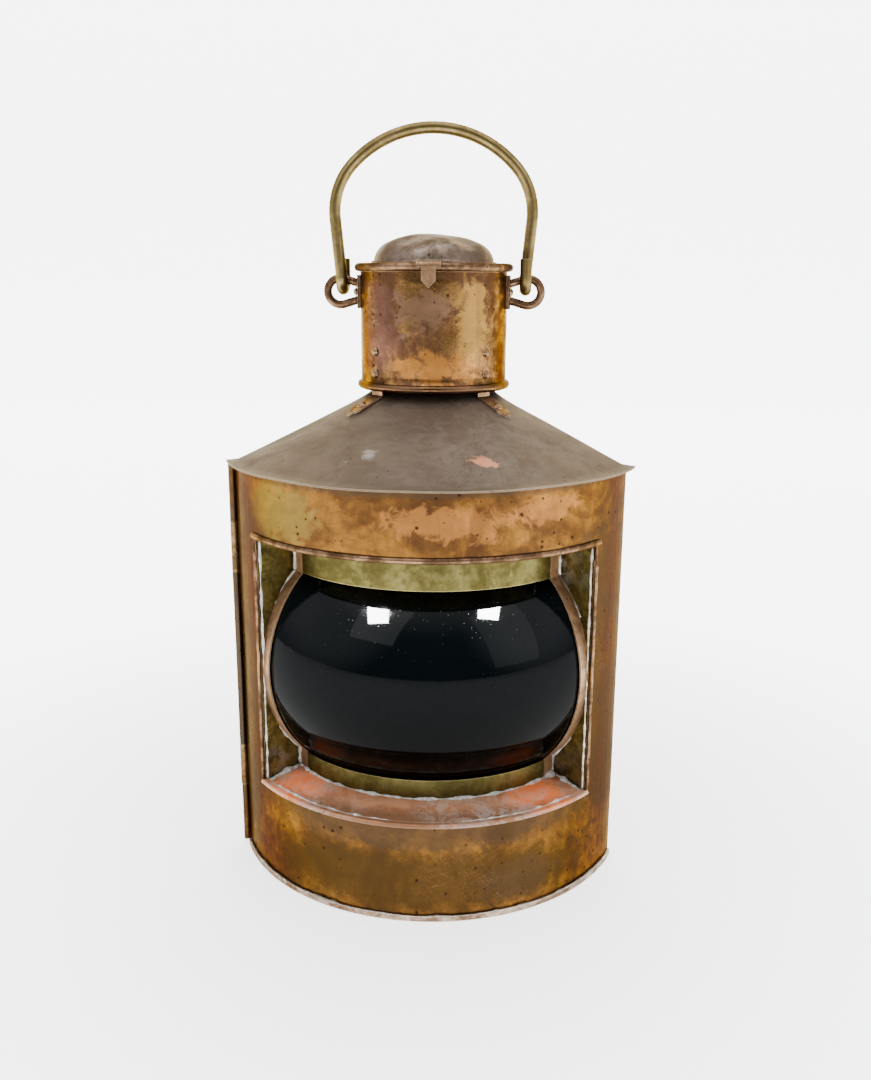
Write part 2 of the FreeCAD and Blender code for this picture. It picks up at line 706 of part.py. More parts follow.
def bail_leg(turn):
    """One side of the bail in its own upright plane, from the hook's top up to the crown.

    turn brings a point (across, height) of that plane into place. The returned edges run upward.
    """
    lean = math.radians(bail_lean_deg)
    centre = bail_half - bail_shoulder
    drop = bail_crown_height - bail_shoulder_height
    crown = (centre ** 2 + drop ** 2 - bail_shoulder ** 2) / (2 * (drop - bail_shoulder))
    crown_low = bail_crown_height - crown
    meet = math.atan2(bail_shoulder_height - crown_low, centre)
    waist = (centre + bail_shoulder * math.cos(lean), bail_shoulder_height - bail_shoulder * math.sin(lean))
    foot = ((waist[1] - bail_knee * math.sin(lean) - pivot_height) / math.cos(lean))
    knee = (waist[0] - foot * math.sin(lean), waist[1] - foot * math.cos(lean))
    hook = (knee[0] - bail_knee * (1 - math.cos(lean)), pivot_height)
    half = lean / 2
    knee_mid = (hook[0] + bail_knee * (1 - math.cos(half)), pivot_height + bail_knee * math.sin(half))

    def shoulder_at(angle):
        return (centre + bail_shoulder * math.cos(angle),
                bail_shoulder_height + bail_shoulder * math.sin(angle))

    rising = (meet + math.pi / 2) / 2
    points = [hook, knee_mid, knee, waist, shoulder_at((meet - lean) / 2), shoulder_at(meet),
              (crown * math.cos(rising), crown_low + crown * math.sin(rising)), (0.0, bail_crown_height)]
    p = [turn(*q) for q in points]
    return [arc(p[0], p[1], p[2]), line(p[2], p[3]), arc(p[3], p[4], p[5]), arc(p[5], p[6], p[7])], hook[0]


def bail():
    """The bail: an arch of round rod, twisted so that its ends hook under the eyes from front and back."""
    reach = bail_leg(lambda across, height: V(across, 0, height))[1]
    twist = math.asin(hook_radius / reach)

    def place(side):
        x, y = side * math.cos(twist), side * math.sin(twist)
        return lambda across, height: V(across * x, across * y, height)

    path = []
    for side in (-1, 1):
        leg = bail_leg(place(side))[0]
        x, y = side * reach * math.cos(twist), side * hook_radius
        hook = [line(V(x, -y, pivot_height + bail_tip), V(x, -y, pivot_height)),
                arc(V(x, -y, pivot_height), V(x, 0, pivot_height - hook_radius), V(x, y, pivot_height))]
        path.append(hook + leg)
    edges = path[0] + path[1][::-1]
    return swept(edges, bail_wire, Z)


# ---- lid ---------------------------------------------------------------------------------------------
def lid_flange():
    """The lid's flat flange, with a wired edge and a spigot inside the drum."""
    spigot = drum_radius - sheet - spigot_clear
    plate = ring(dome_radius - 3 * sheet, lid_bead_ring, flange_top - sheet, flange_top)
    skirt = ring(spigot - sheet, spigot, drum_high - spigot_depth, flange_top)
    return join([plate, skirt, wire_ring(lid_bead_ring, lid_rim_height, lid_bead)])


def dome_edges(inset, low):
    """The dome's line, inset by a thickness: up its bulging side and over its flatter crown."""
    foot, shoulder = dome_radius - inset, dome_shoulder - inset
    side, top = flange_top + dome_side - inset, flange_top + dome_rise - inset
    a, b, c = V(0, -foot, low), V(0, -shoulder, side), V(0, 0, top)
    belly = (a + b) / 2 + V(0, low - side, foot - shoulder).normalize() * dome_belly
    ball = (shoulder ** 2 + (top - side) ** 2) / (2 * (top - side))
    crown = V(0, -shoulder / 2, top - ball + math.sqrt(ball ** 2 - shoulder ** 2 / 4))
    return [arc(a, belly, b), arc(b, crown, c)]


def lid_dome():
    """The raised cap on the lid."""
    low = flange_top + film
    outer, inner = dome_edges(0.0, low), dome_edges(sheet, low)
    tips = [line(V(0, 0, flange_top + dome_rise - sheet), V(0, 0, flange_top + dome_rise)),
            line(V(0, -dome_radius + sheet, low), V(0, -dome_radius, low))]
    dome = turned(outer + inner + tips)
    return join([dome, ring(dome_radius - sheet, dome_radius + dome_foot, low, low + trim)])


def lid_catch():
    """The spring catch: a strap on the lid's flange, bent over its wired edge, with a pointed tongue."""
    low, high = flange_top + film, flange_top + film + trim
    reach = lid_bead_ring + lid_bead + film
    start = dome_radius + 2 * sheet
    half = catch_width / 2
    across = V(catch_width, 0, 0)

    def at(radius, height):
        return V(-half, -radius, height)

    r_in, r_out = lid_bead + film, lid_bead + film + trim
    c45 = math.cos(math.pi / 4)
    strap_edges = [line(at(start, low), at(lid_bead_ring, low)),
                   arc(at(lid_bead_ring, low), at(lid_bead_ring + r_in * c45, lid_rim_height + r_in * c45),
                       at(reach, lid_rim_height)),
                   line(at(reach, lid_rim_height), at(lid_bead_ring + r_out, lid_rim_height)),
                   arc(at(lid_bead_ring + r_out, lid_rim_height),
                       at(lid_bead_ring + r_out * c45, lid_rim_height + r_out * c45),
                       at(lid_bead_ring, high)),
                   line(at(lid_bead_ring, high), at(start, high)), line(at(start, high), at(start, low))]
    over = Part.Face(Part.Wire(strap_edges)).extrude(across)
    side, tip = tongue_width / 2, lid_rim_height - tongue_length
    top = lid_rim_height + gap
    tongue = face_of([V(-side, -reach, top), V(side, -reach, top), V(side, -reach, tip + side),
                      V(0, -reach, tip), V(-side, -reach, tip + side)]).extrude(V(0, -trim, 0))
    return join([over, tongue])


def lid_hinge_axis(x=0.0):
    return V(x, lid_axis_y, lid_rim_height)


def lid_leaf_plate():
    """The hinge leaf on the lid, with its two knuckles."""
    low, high = flange_top + film, flange_top + film + sheet
    half = lid_hinge_width / 2
    plate = Part.makeBox(lid_hinge_width, lid_leaf, sheet, V(-half, lid_axis_y - lid_leaf, low))
    knuckles = rod(lid_hinge_axis(-half), X, lid_knuckle, lid_hinge_width)
    rise = high - lid_rim_height
    bridge = Part.makeBox(lid_hinge_width, lid_knuckle, rise, V(-half, lid_axis_y, lid_rim_height))
    bridge = bridge.common(rod(lid_hinge_axis(-half), X, rise, lid_hinge_width))
    leaf = join([plate, knuckles, bridge])
    clear = lid_hinge_middle / 2 + gap
    notch = Part.makeBox(2 * clear, 2 * lid_leaf, 4 * lid_knuckle,
                         V(-clear, lid_axis_y - lid_knuckle - 2 * gap, lid_rim_height - 2 * lid_knuckle))
    return leaf.cut(notch).cut(rod(lid_hinge_axis(-half), X, lid_pin + running, lid_hinge_width))


def drum_leaf_plate():
    """The hinge leaf on the drum, with the middle knuckle."""
    near, far = drum_radius + film, drum_radius + film + sheet
    half = lid_hinge_middle / 2
    bend = lid_rim_height - lid_bead - drum_leaf_bend
    wide = lid_hinge_width / 2
    back, foot = lid_axis_y + lid_knuckle, lid_rim_height - lid_knuckle
    outline = [(near, bend), (far, bend - sheet / 2), (back, foot), (back, lid_rim_height),
               (lid_axis_y, lid_rim_height), (lid_axis_y, foot)]
    arm = face_of([V(-half, y, z) for y, z in outline]).extrude(V(lid_hinge_middle, 0, 0))
    knuckle = rod(lid_hinge_axis(-half), X, lid_knuckle, lid_hinge_middle)
    span = math.degrees(wide / drum_radius)
    plate = ring(near, far, drum_leaf_low, bend, 180 - span, 180 + span)
    leaf = join([arm, knuckle, plate])
    leaf = leaf.cut(Part.makeCylinder(near, 2 * drum_high))
    return bored(leaf.cut(rod(lid_hinge_axis(-half), X, lid_pin + running, lid_hinge_middle)),
                 hinge_rivet_places())


def lid_hinge_pin():
    return rod(lid_hinge_axis(-lid_hinge_width / 2 - sheet), X, lid_pin, lid_hinge_width + 2 * sheet)


def lid_hinge_rivets():
    return group(rivet(place) for place in hinge_rivet_places())


# ---- door --------------------------------------------------------------------------------------------
def door_panel():
    """The door's sheet."""
    return prism([on_wall(door_edge, 0, door_low), on_wall(wall_length, 0, door_low),
                  on_wall(wall_length, -sheet, door_low), on_wall(door_edge, -sheet, door_low)],
                 door_high - door_low)


def door_hinge_leaves():
    """The door's two hinge leaves and their knuckles."""
    leaves = []
    for low, high in door_knuckles:
        ends = ((-door_axis_back, film), (door_leaf, film),
                (door_leaf, film + sheet), (-door_axis_back, film + sheet))
        plate = prism([on_wall(along, out, low) for along, out in ends], high - low)
        leaves.append(join([plate, rod(door_axis(low), Z, door_knuckle, high - low)])
                      .cut(rod(door_axis(low), Z, door_pin + running, high - low)))
    return group(leaves)


def door_hinge_pin():
    low = body_knuckles[0][0]
    return rod(door_axis(low), Z, door_pin, body_knuckles[-1][1] - low)


def door_catch():
    """A springy strip on the door that laps round the back corner."""
    end = wall_length + gap
    points = [(wall_length - catch_arm, film), (end, film), (end, -catch_wrap), (end + sheet, -catch_wrap),
              (end + sheet, film + sheet), (wall_length - catch_arm, film + sheet)]
    low = catch_height - catch_strip / 2
    return prism([on_wall(along, out, low) for along, out in points], catch_strip)


def door_pull():
    """A turned knob on the door."""
    foot = on_wall(wall_length - pull_from_corner, film, catch_height)
    stem = rod(foot, N_WALL, pull_radius / 2, pull_reach - pull_radius / 2)
    base = rod(foot, N_WALL, pull_radius, sheet)
    ball = Part.makeSphere(pull_radius, foot + N_WALL * (pull_reach - pull_radius))
    return join([stem, base, ball])


# ---- oil lamp ----------------------------------------------------------------------------------------
def fount():
    """The oil vessel: a round can with a sloping top and a thick neck."""
    r, t, edge, crown = fount_radius, neck_radius, fount_high - fount_bevel, fount_high + fount_crown
    outer = [(0, floor), (r, floor), (r, edge), (r - fount_bevel, fount_high), (t, crown), (t, neck_high)]
    inner = [(t - neck_wall, neck_high), (t - neck_wall, crown - neck_wall),
             (r - fount_bevel - fount_wall, fount_high - neck_wall), (r - fount_wall, edge - fount_wall),
             (r - fount_wall, floor + fount_wall), (0, floor + fount_wall)]
    return turned(profile(outer + inner))


def fount_guides():
    """Two bent rails on the floor that centre the fount and leave it free towards the door."""
    r, high = fount_radius + gap, floor + guide_height
    return group(ring(r, r + sheet, floor, high, middle - guide_half_deg, middle + guide_half_deg)
                 for middle in (0.0, 90.0))


def burner():
    """The burner: a collar over the neck, an air cage and a cone with a slot for the flame."""
    low, top = neck_high + film, burner_high + burner_cone
    collar, mouth, cage = neck_radius + neck_wall, wick_width / 2, low + 2 * burner_collar
    outer = [(0, low), (collar, low), (collar, low + burner_collar), (burner_radius, cage),
             (burner_radius, burner_high), (mouth, top), (0, top)]
    w = burner_wall
    inner = [(0, low + burner_collar - w), (collar - w, low + burner_collar - w), (burner_radius - w, cage),
             (burner_radius - w, burner_high), (mouth - w, top - w), (0, top - w)]
    body = turned(profile(outer)).cut(turned(profile(inner)))
    wide, deep = (size + 2 * (tube_clear + tube_wall + slot_clear) for size in (wick_width, wick_thick))
    slot = Part.makeBox(wide, deep, 2 * top, V(-wide / 2, -deep / 2, 0))
    shaft = rod(on_winder(-winder_reach), X, winder_shaft + running, winder_reach)
    return body.cut(slot).cut(shaft)


def wick_tube():
    """The flat tube that the wick climbs, open behind where the wheels reach it."""
    low, height = neck_high + sheet, wick_rise - wick_bare - sheet
    inner, outer = ([size + 2 * room for size in (wick_width, wick_thick)]
                    for room in (tube_clear, tube_clear + tube_wall))
    tube = Part.makeBox(outer[0], outer[1], height, V(-outer[0] / 2, -outer[1] / 2, low))
    tube = tube.cut(Part.makeBox(inner[0], inner[1], height, V(-inner[0] / 2, -inner[1] / 2, low)))
    room = wheel_radius + sheet
    behind = V(-outer[0], wick_thick / 2, winder_height - room)
    return tube.cut(Part.makeBox(2 * outer[0], room, 2 * room, behind))


def wick():
    corner = V(-wick_width / 2, -wick_thick / 2, wick_low)
    return Part.makeBox(wick_width, wick_thick, wick_high - wick_low, corner)


def on_winder(x):
    """A point on the winder's axis."""
    return V(x, winder_offset, winder_height)


def winder():
    """The wick winder's shaft, with two milled wheels and the knob."""
    pieces = [rod(on_winder(-winder_reach), X, winder_shaft, winder_reach + wick_width / 2),
              rod(on_winder(-winder_reach), X, winder_knob, knob_width)]
    for middle in (-wick_width / 4, wick_width / 4):
        pieces.append(rod(on_winder(middle - wheel_width / 2), X, wheel_radius, wheel_width))
    return join(pieces)


PIECES = {
    "front_shell": front_shell, "right_wall": right_wall, "door_frame": door_frame, "base_pan": base_pan,
    "roof": roof, "flue": flue, "window_bead": window_bead, "sill": sill, "soffit": soffit,
    "right_cheek": cheek, "left_cheek": lambda: mirrored(cheek()),
    "right_lens_strip": side_strip, "left_lens_strip": lambda: mirrored(side_strip()),
    "lower_lens_band": lower_lens_band, "upper_lens_band": upper_lens_band, "lens": lens,
    "lower_lens_putty": lambda: lens_bed(lens_low - bedding), "upper_lens_putty": lambda: lens_bed(lens_high),
    "right_lens_channel": lens_channel, "left_lens_channel": lambda: mirrored(lens_channel()),
    "strap_roof_rivets": strap_roof_rivets, "strap_drum_rivets": strap_drum_rivets, "drum": drum,
    "right_eye_plate": eye_plate_right, "left_eye_plate": lambda: mirrored(eye_plate_right()),
    "right_eye": eye_right, "left_eye": lambda: mirrored(eye_right()), "eye_rivets": eye_rivets, "bail": bail,
    "lid_flange": lid_flange, "lid_dome": lid_dome, "lid_catch": lid_catch, "lid_hinge_leaf": lid_leaf_plate,
    "drum_hinge_leaf": drum_leaf_plate, "lid_hinge_pin": lid_hinge_pin, "lid_hinge_rivets": lid_hinge_rivets,
    "door_panel": door_panel, "door_hinge_leaves": door_hinge_leaves, "door_hinge_pin": door_hinge_pin,
    "door_catch": door_catch, "door_pull": door_pull,
    "fount": fount, "fount_guides": fount_guides, "burner": burner, "wick_tube": wick_tube, "wick": wick,
    "winder": winder,
}
for strap_name, strap_deg in STRAPS.items():
    PIECES[strap_name] = lambda d=strap_deg: strap(d)


def main():
    os.makedirs("parts", exist_ok=True)
    for name, make in PIECES.items():
        shape = make()
        good = shape.isValid() and all(s.isClosed() for s in shape.Shells)
        state = "ok" if good else "FAULTY"
        print(f"{name:22s} solids {len(shape.Solids)} volume {shape.Volume:10.1f} {state}")
        shape.exportStep(f"parts/{name}.step")


main()
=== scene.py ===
"""Finish of an old ship's side light: stained copper, brass, dark glass and solder, set in a pale studio.

All lengths are metres in the lantern's own frame: +Z up, the curved front towards -Y, and the origin on the
table under the flame. Azimuths are degrees about +Z from the front towards +X.
"""

from __future__ import annotations

import logging
import math
from dataclasses import dataclass
from enum import Enum
from typing import Callable, Mapping, Sequence

import bmesh
import bpy
from mathutils import Matrix, Vector, noise

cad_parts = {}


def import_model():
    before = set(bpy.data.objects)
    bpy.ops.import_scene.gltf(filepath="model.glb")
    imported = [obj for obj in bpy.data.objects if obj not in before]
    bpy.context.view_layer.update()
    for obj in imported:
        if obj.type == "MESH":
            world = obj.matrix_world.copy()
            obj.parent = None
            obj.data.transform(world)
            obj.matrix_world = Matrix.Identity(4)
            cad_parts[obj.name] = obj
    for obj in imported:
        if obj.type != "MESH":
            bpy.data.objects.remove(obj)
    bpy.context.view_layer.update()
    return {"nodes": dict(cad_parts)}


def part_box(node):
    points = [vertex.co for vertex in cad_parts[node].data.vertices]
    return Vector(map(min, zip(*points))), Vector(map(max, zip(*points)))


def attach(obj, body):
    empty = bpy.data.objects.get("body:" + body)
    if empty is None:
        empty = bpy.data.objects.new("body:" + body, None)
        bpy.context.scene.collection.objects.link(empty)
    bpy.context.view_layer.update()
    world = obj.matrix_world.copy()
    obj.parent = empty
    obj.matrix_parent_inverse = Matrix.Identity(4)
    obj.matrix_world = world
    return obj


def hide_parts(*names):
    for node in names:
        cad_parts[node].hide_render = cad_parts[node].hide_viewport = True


LOG = logging.getLogger("lantern")
Colour = tuple[float, float, float]
Socket = bpy.types.NodeSocket
VECTOR = "vector"               # marks a group's vector input
ORIGIN = (0.0, 0.0, 0.0)
UP = Vector((0.0, 0.0, 1.0))
PALE_DUST = (0.55, 0.5, 0.44)
EDGE_TINT = (0.46, 0.4, 0.28)   # how metal looks where it turns away
GLASS_IOR = 1.52
SPECK, SMEAR = (0.002, 0.002, 0.0018), (0.004, 0.004, 0.0038)


def polar(radius: float, degrees: float, height: float = 0.0) -> Vector:
    """A point at an azimuth about the flame's axis."""
    a = math.radians(degrees)
    return Vector((radius * math.sin(a), -radius * math.cos(a), height))


def rgba(colour: Sequence[float]) -> tuple[float, float, float, float]:
    """A colour with full opacity."""
    return (colour[0], colour[1], colour[2], 1.0)


# ---- node graphs -------------------------------------------------------------------------------------
class Graph:
    """A short way to write a node tree."""

    def __init__(self, tree: bpy.types.NodeTree) -> None:
        """Wraps a tree.

        Args:
            tree: the node tree to write in.
        """
        self.tree = tree

    def node(self, kind: str, inputs: Mapping[str | int, object] | None = None,
             **settings: object) -> bpy.types.Node:
        """Adds a node.

        Args:
            kind: the node's type.
            inputs: a value or a socket for each named or numbered input.
            settings: the node's own properties.

        Returns:
            The new node.
        """
        made = self.tree.nodes.new(kind)
        made.location = (220.0 * (len(self.tree.nodes) % 9), -260.0 * (len(self.tree.nodes) // 9))
        for name, value in settings.items():
            setattr(made, name, value)
        for key, value in (inputs or {}).items():
            self.feed(made.inputs[key], value)
        return made

    def feed(self, socket: Socket, value: object) -> None:
        """Links a socket to an input, or sets the input's value.

        Args:
            socket: the input.
            value: a socket, a number, a vector or a colour.
        """
        if isinstance(value, bpy.types.NodeSocket):
            self.tree.links.new(value, socket)
        elif isinstance(value, (tuple, list)) and len(value) == 3 and socket.type == "RGBA":
            socket.default_value = rgba(value)
        else:
            socket.default_value = value

    def math(self, operation: str, a: object, b: object = 0.0, clamp: bool = False) -> Socket:
        """The result of a scalar operation on two values or sockets."""
        return self.node("ShaderNodeMath", {0: a, 1: b}, operation=operation, use_clamp=clamp).outputs[0]

    def vector(self, operation: str, a: object, b: object) -> bpy.types.Node:
        """A vector operation on two values or sockets."""
        return self.node("ShaderNodeVectorMath", {0: a, 1: b}, operation=operation)

    def span(self, value: object, low: object, high: object, to_low: object = 0.0,
             to_high: object = 1.0) -> Socket:
        """A value mapped smoothly from one span to another."""
        return self.node("ShaderNodeMapRange", {"Value": value, "From Min": low, "From Max": high,
                                                "To Min": to_low, "To Max": to_high},
                         interpolation_type="SMOOTHSTEP").outputs[0]

    def mix(self, factor: object, a: object, b: object) -> Socket:
        """Two colours mixed."""
        return self.node("ShaderNodeMix", {0: factor, 6: a, 7: b}, data_type="RGBA").outputs[2]

    def noise(self, where: object, scale: object, detail: float = 4.0, rough: float = 0.55,
              distortion: object = 0.0) -> Socket:
        """Cloudy noise about 0.5."""
        made = self.node("ShaderNodeTexNoise", {"Vector": where, "Scale": scale, "Detail": detail,
                                                "Roughness": rough, "Distortion": distortion})
        return made.outputs[0]

    def effect(self, group: bpy.types.NodeTree, where: Socket, **values: object) -> Socket:
        """Places a shared effect and returns its mask."""
        made = self.node("ShaderNodeGroup", {"Position": where, **values}, node_tree=group)
        return made.outputs["Mask"]


class Effects:
    """The surface effects that several finishes share, each one a node group."""

    def __init__(self) -> None:
        """Builds every group once."""
        self.mottle = self.group("mottle", {"Scale": 60.0, "Contrast": 0.3}, self.write_mottle)
        self.scratches = self.group("scratches", {"Scale": 40.0, "Amount": 0.5}, self.write_scratches)
        self.spots = self.group("spots", {"Scale": 120.0, "Amount": 0.3}, self.write_spots)
        self.edge_wear = self.group("edge wear", {"Width": 0.0012, "Ragged": 0.5}, self.write_edge_wear)
        self.patch = self.group("patch", {"Centre": VECTOR, "Stretch": VECTOR, "Ragged": 0.4},
                                self.write_patch)
        self.runs = self.group("runs", {"Scale": 60.0, "Amount": 0.5}, self.write_runs)

    def group(self, name: str, inputs: Mapping[str, object],
              write: Callable[[Graph, Mapping[str, Socket]], Socket]) -> bpy.types.NodeTree:
        """Makes one group with a single mask as its output.

        Args:
            name: the group's name.
            inputs: default value of each input after Position, or VECTOR.
            write: fills the group and returns the mask's socket.

        Returns:
            The group's node tree.
        """
        tree = bpy.data.node_groups.new(name, "ShaderNodeTree")
        inputs = {"Position": VECTOR, **inputs}
        for title, value in inputs.items():
            kind = "NodeSocketVector" if value == VECTOR else "NodeSocketFloat"
            socket = tree.interface.new_socket(title, in_out="INPUT", socket_type=kind)
            if value != VECTOR:
                socket.default_value = value
        tree.interface.new_socket("Mask", in_out="OUTPUT", socket_type="NodeSocketFloat")
        graph = Graph(tree)
        entry = graph.node("NodeGroupInput")
        mask = write(graph, {title: entry.outputs[title] for title in inputs})
        graph.node("NodeGroupOutput", {"Mask": mask})
        return tree

    @staticmethod
    def write_mottle(g: Graph, i: Mapping[str, Socket]) -> Socket:
        """Broad blotches with finer ones inside them.

        Args:
            g: the group's graph.
            i: its inputs.

        Returns:
            The mask.
        """
        broad = g.noise(i["Position"], i["Scale"], 5.0, 0.6, 1.2)
        fine = g.noise(i["Position"], g.math("MULTIPLY", i["Scale"], 7.0), 4.0, 0.6, 0.4)
        both = g.math("ADD", g.math("MULTIPLY", broad, 0.72), g.math("MULTIPLY", fine, 0.28))
        half = g.math("MULTIPLY", i["Contrast"], 0.5)
        return g.span(both, g.math("SUBTRACT", 0.5, half), g.math("ADD", 0.5, half))

    @staticmethod
    def write_scratches(g: Graph, i: Mapping[str, Socket]) -> Socket:
        """Fine long scratches in two directions, gathered in places.

        Args:
            g: the group's graph.
            i: its inputs.

        Returns:
            The mask.
        """
        lines = []
        for turn, stretch in ((0.35, 34.0), (-0.9, 26.0)):
            turned = g.node("ShaderNodeVectorRotate", {"Vector": i["Position"], "Angle": turn},
                            rotation_type="Y_AXIS").outputs[0]
            thin = g.vector("MULTIPLY", turned, (1.0, 1.0, stretch)).outputs[0]
            cloud = g.noise(thin, i["Scale"], 2.0, 0.5, 0.15)
            away = g.math("ABSOLUTE", g.math("SUBTRACT", cloud, 0.5))
            lines.append(g.span(away, 0.0, 0.012, 1.0, 0.0))
        where = g.span(g.noise(i["Position"], g.math("MULTIPLY", i["Scale"], 0.6), 3.0), 0.5, 0.72)
        both = g.math("MAXIMUM", lines[0], lines[1])
        return g.math("MULTIPLY", g.math("MULTIPLY", both, where), i["Amount"], clamp=True)

    @staticmethod
    def write_spots(g: Graph, i: Mapping[str, Socket]) -> Socket:
        """Scattered round spots of different sizes.

        Args:
            g: the group's graph.
            i: its inputs.

        Returns:
            The mask.
        """
        cells = g.node("ShaderNodeTexVoronoi", {"Vector": i["Position"], "Scale": i["Scale"]})
        chance = g.node("ShaderNodeSeparateColor", {0: cells.outputs["Color"]}).outputs[0]
        size = g.math("MULTIPLY", chance, i["Amount"])
        fray = g.noise(i["Position"], g.math("MULTIPLY", i["Scale"], 6.0), 3.0)
        frayed = g.math("ADD", cells.outputs["Distance"], g.math("MULTIPLY", fray, 0.12))
        return g.math("MULTIPLY", g.span(g.math("SUBTRACT", frayed, size), 0.0, 0.09, 1.0, 0.0), 0.9)

    @staticmethod
    def write_edge_wear(g: Graph, i: Mapping[str, Socket]) -> Socket:
        """Rubbed edges: where a rounded normal leaves the true one, broken up.

        Args:
            g: the group's graph.
            i: its inputs.

        Returns:
            The mask.
        """
        rounded = g.node("ShaderNodeBevel", {"Radius": i["Width"]}, samples=6).outputs[0]
        true = g.node("ShaderNodeNewGeometry").outputs["Normal"]
        bend = g.math("SUBTRACT", 1.0, g.vector("DOT_PRODUCT", rounded, true).outputs["Value"])
        cloud = g.noise(i["Position"], 260.0, 5.0, 0.7)
        broken = g.math("MULTIPLY", g.math("SUBTRACT", cloud, 0.42), i["Ragged"])
        return g.span(g.math("ADD", bend, g.math("MULTIPLY", broken, bend)), 0.03, 0.22)

    @staticmethod
    def write_patch(g: Graph, i: Mapping[str, Socket]) -> Socket:
        """One ragged patch about a centre; Stretch is one over its half sizes.

        Args:
            g: the group's graph.
            i: its inputs.

        Returns:
            The mask.
        """
        apart = g.vector("SUBTRACT", i["Position"], i["Centre"]).outputs[0]
        scaled = g.vector("MULTIPLY", apart, i["Stretch"]).outputs[0]
        far = g.vector("LENGTH", scaled, ORIGIN).outputs["Value"]
        cloud = g.noise(i["Position"], 130.0, 6.0, 0.68, 0.6)
        ragged = g.math("MULTIPLY", g.math("SUBTRACT", cloud, 0.5), g.math("MULTIPLY", i["Ragged"], 4.0))
        return g.span(g.math("ADD", far, ragged), 0.55, 1.05, 1.0, 0.0)

    @staticmethod
    def write_runs(g: Graph, i: Mapping[str, Socket]) -> Socket:
        """Stains that ran down a wall.

        Args:
            g: the group's graph.
            i: its inputs.

        Returns:
            The mask.
        """
        squashed = g.vector("MULTIPLY", i["Position"], (1.0, 1.0, 0.16)).outputs[0]
        cloud = g.noise(squashed, i["Scale"], 5.0, 0.62, 0.5)
        return g.math("MULTIPLY", g.span(cloud, 0.5, 0.68), i["Amount"])


# ---- finishes ----------------------------------------------------------------------------------------
def blank(name: str) -> tuple[bpy.types.Material, Graph, Socket]:
    """Starts an empty material.

    Args:
        name: the material's name.

    Returns:
        The material, its graph and the place on the lantern.
    """
    made = bpy.data.materials.new(name)
    made.use_nodes = True
    made.node_tree.nodes.clear()
    g = Graph(made.node_tree)
    return made, g, g.node("ShaderNodeTexCoord").outputs["Object"]


def principled(g: Graph, height: Socket, strength: float, depth: float, **inputs: object) -> None:
    """Ends a material with its bump and its shader.

    Args:
        g: the material's graph.
        height: the bump's height.
        strength: the bump's strength.
        depth: the bump's depth, in metres.
        inputs: the shader's inputs, with _ for a space.
    """
    bump = g.node("ShaderNodeBump", {"Height": height, "Strength": strength, "Distance": depth})
    values = {name.replace("_", " "): value for name, value in inputs.items()}
    shader = g.node("ShaderNodeBsdfPrincipled", {**values, "Normal": bump.outputs[0]})
    g.node("ShaderNodeOutputMaterial", {"Surface": shader.outputs[0]})


@dataclass(frozen=True)
class Patch:
    """A place on a piece with a colour of its own, or with painted light or shade.

    Attributes:
        centre: its middle.
        half: its half sizes along X, Y and Z.
        colour: its colour.
        amount: how strongly it covers.
        ragged: how broken its edge is.
        rough: added to the roughness there.
    """

    centre: tuple[float, float, float]
    half: tuple[float, float, float]
    colour: Colour
    amount: float = 0.8
    ragged: float = 0.4
    rough: float = 0.0


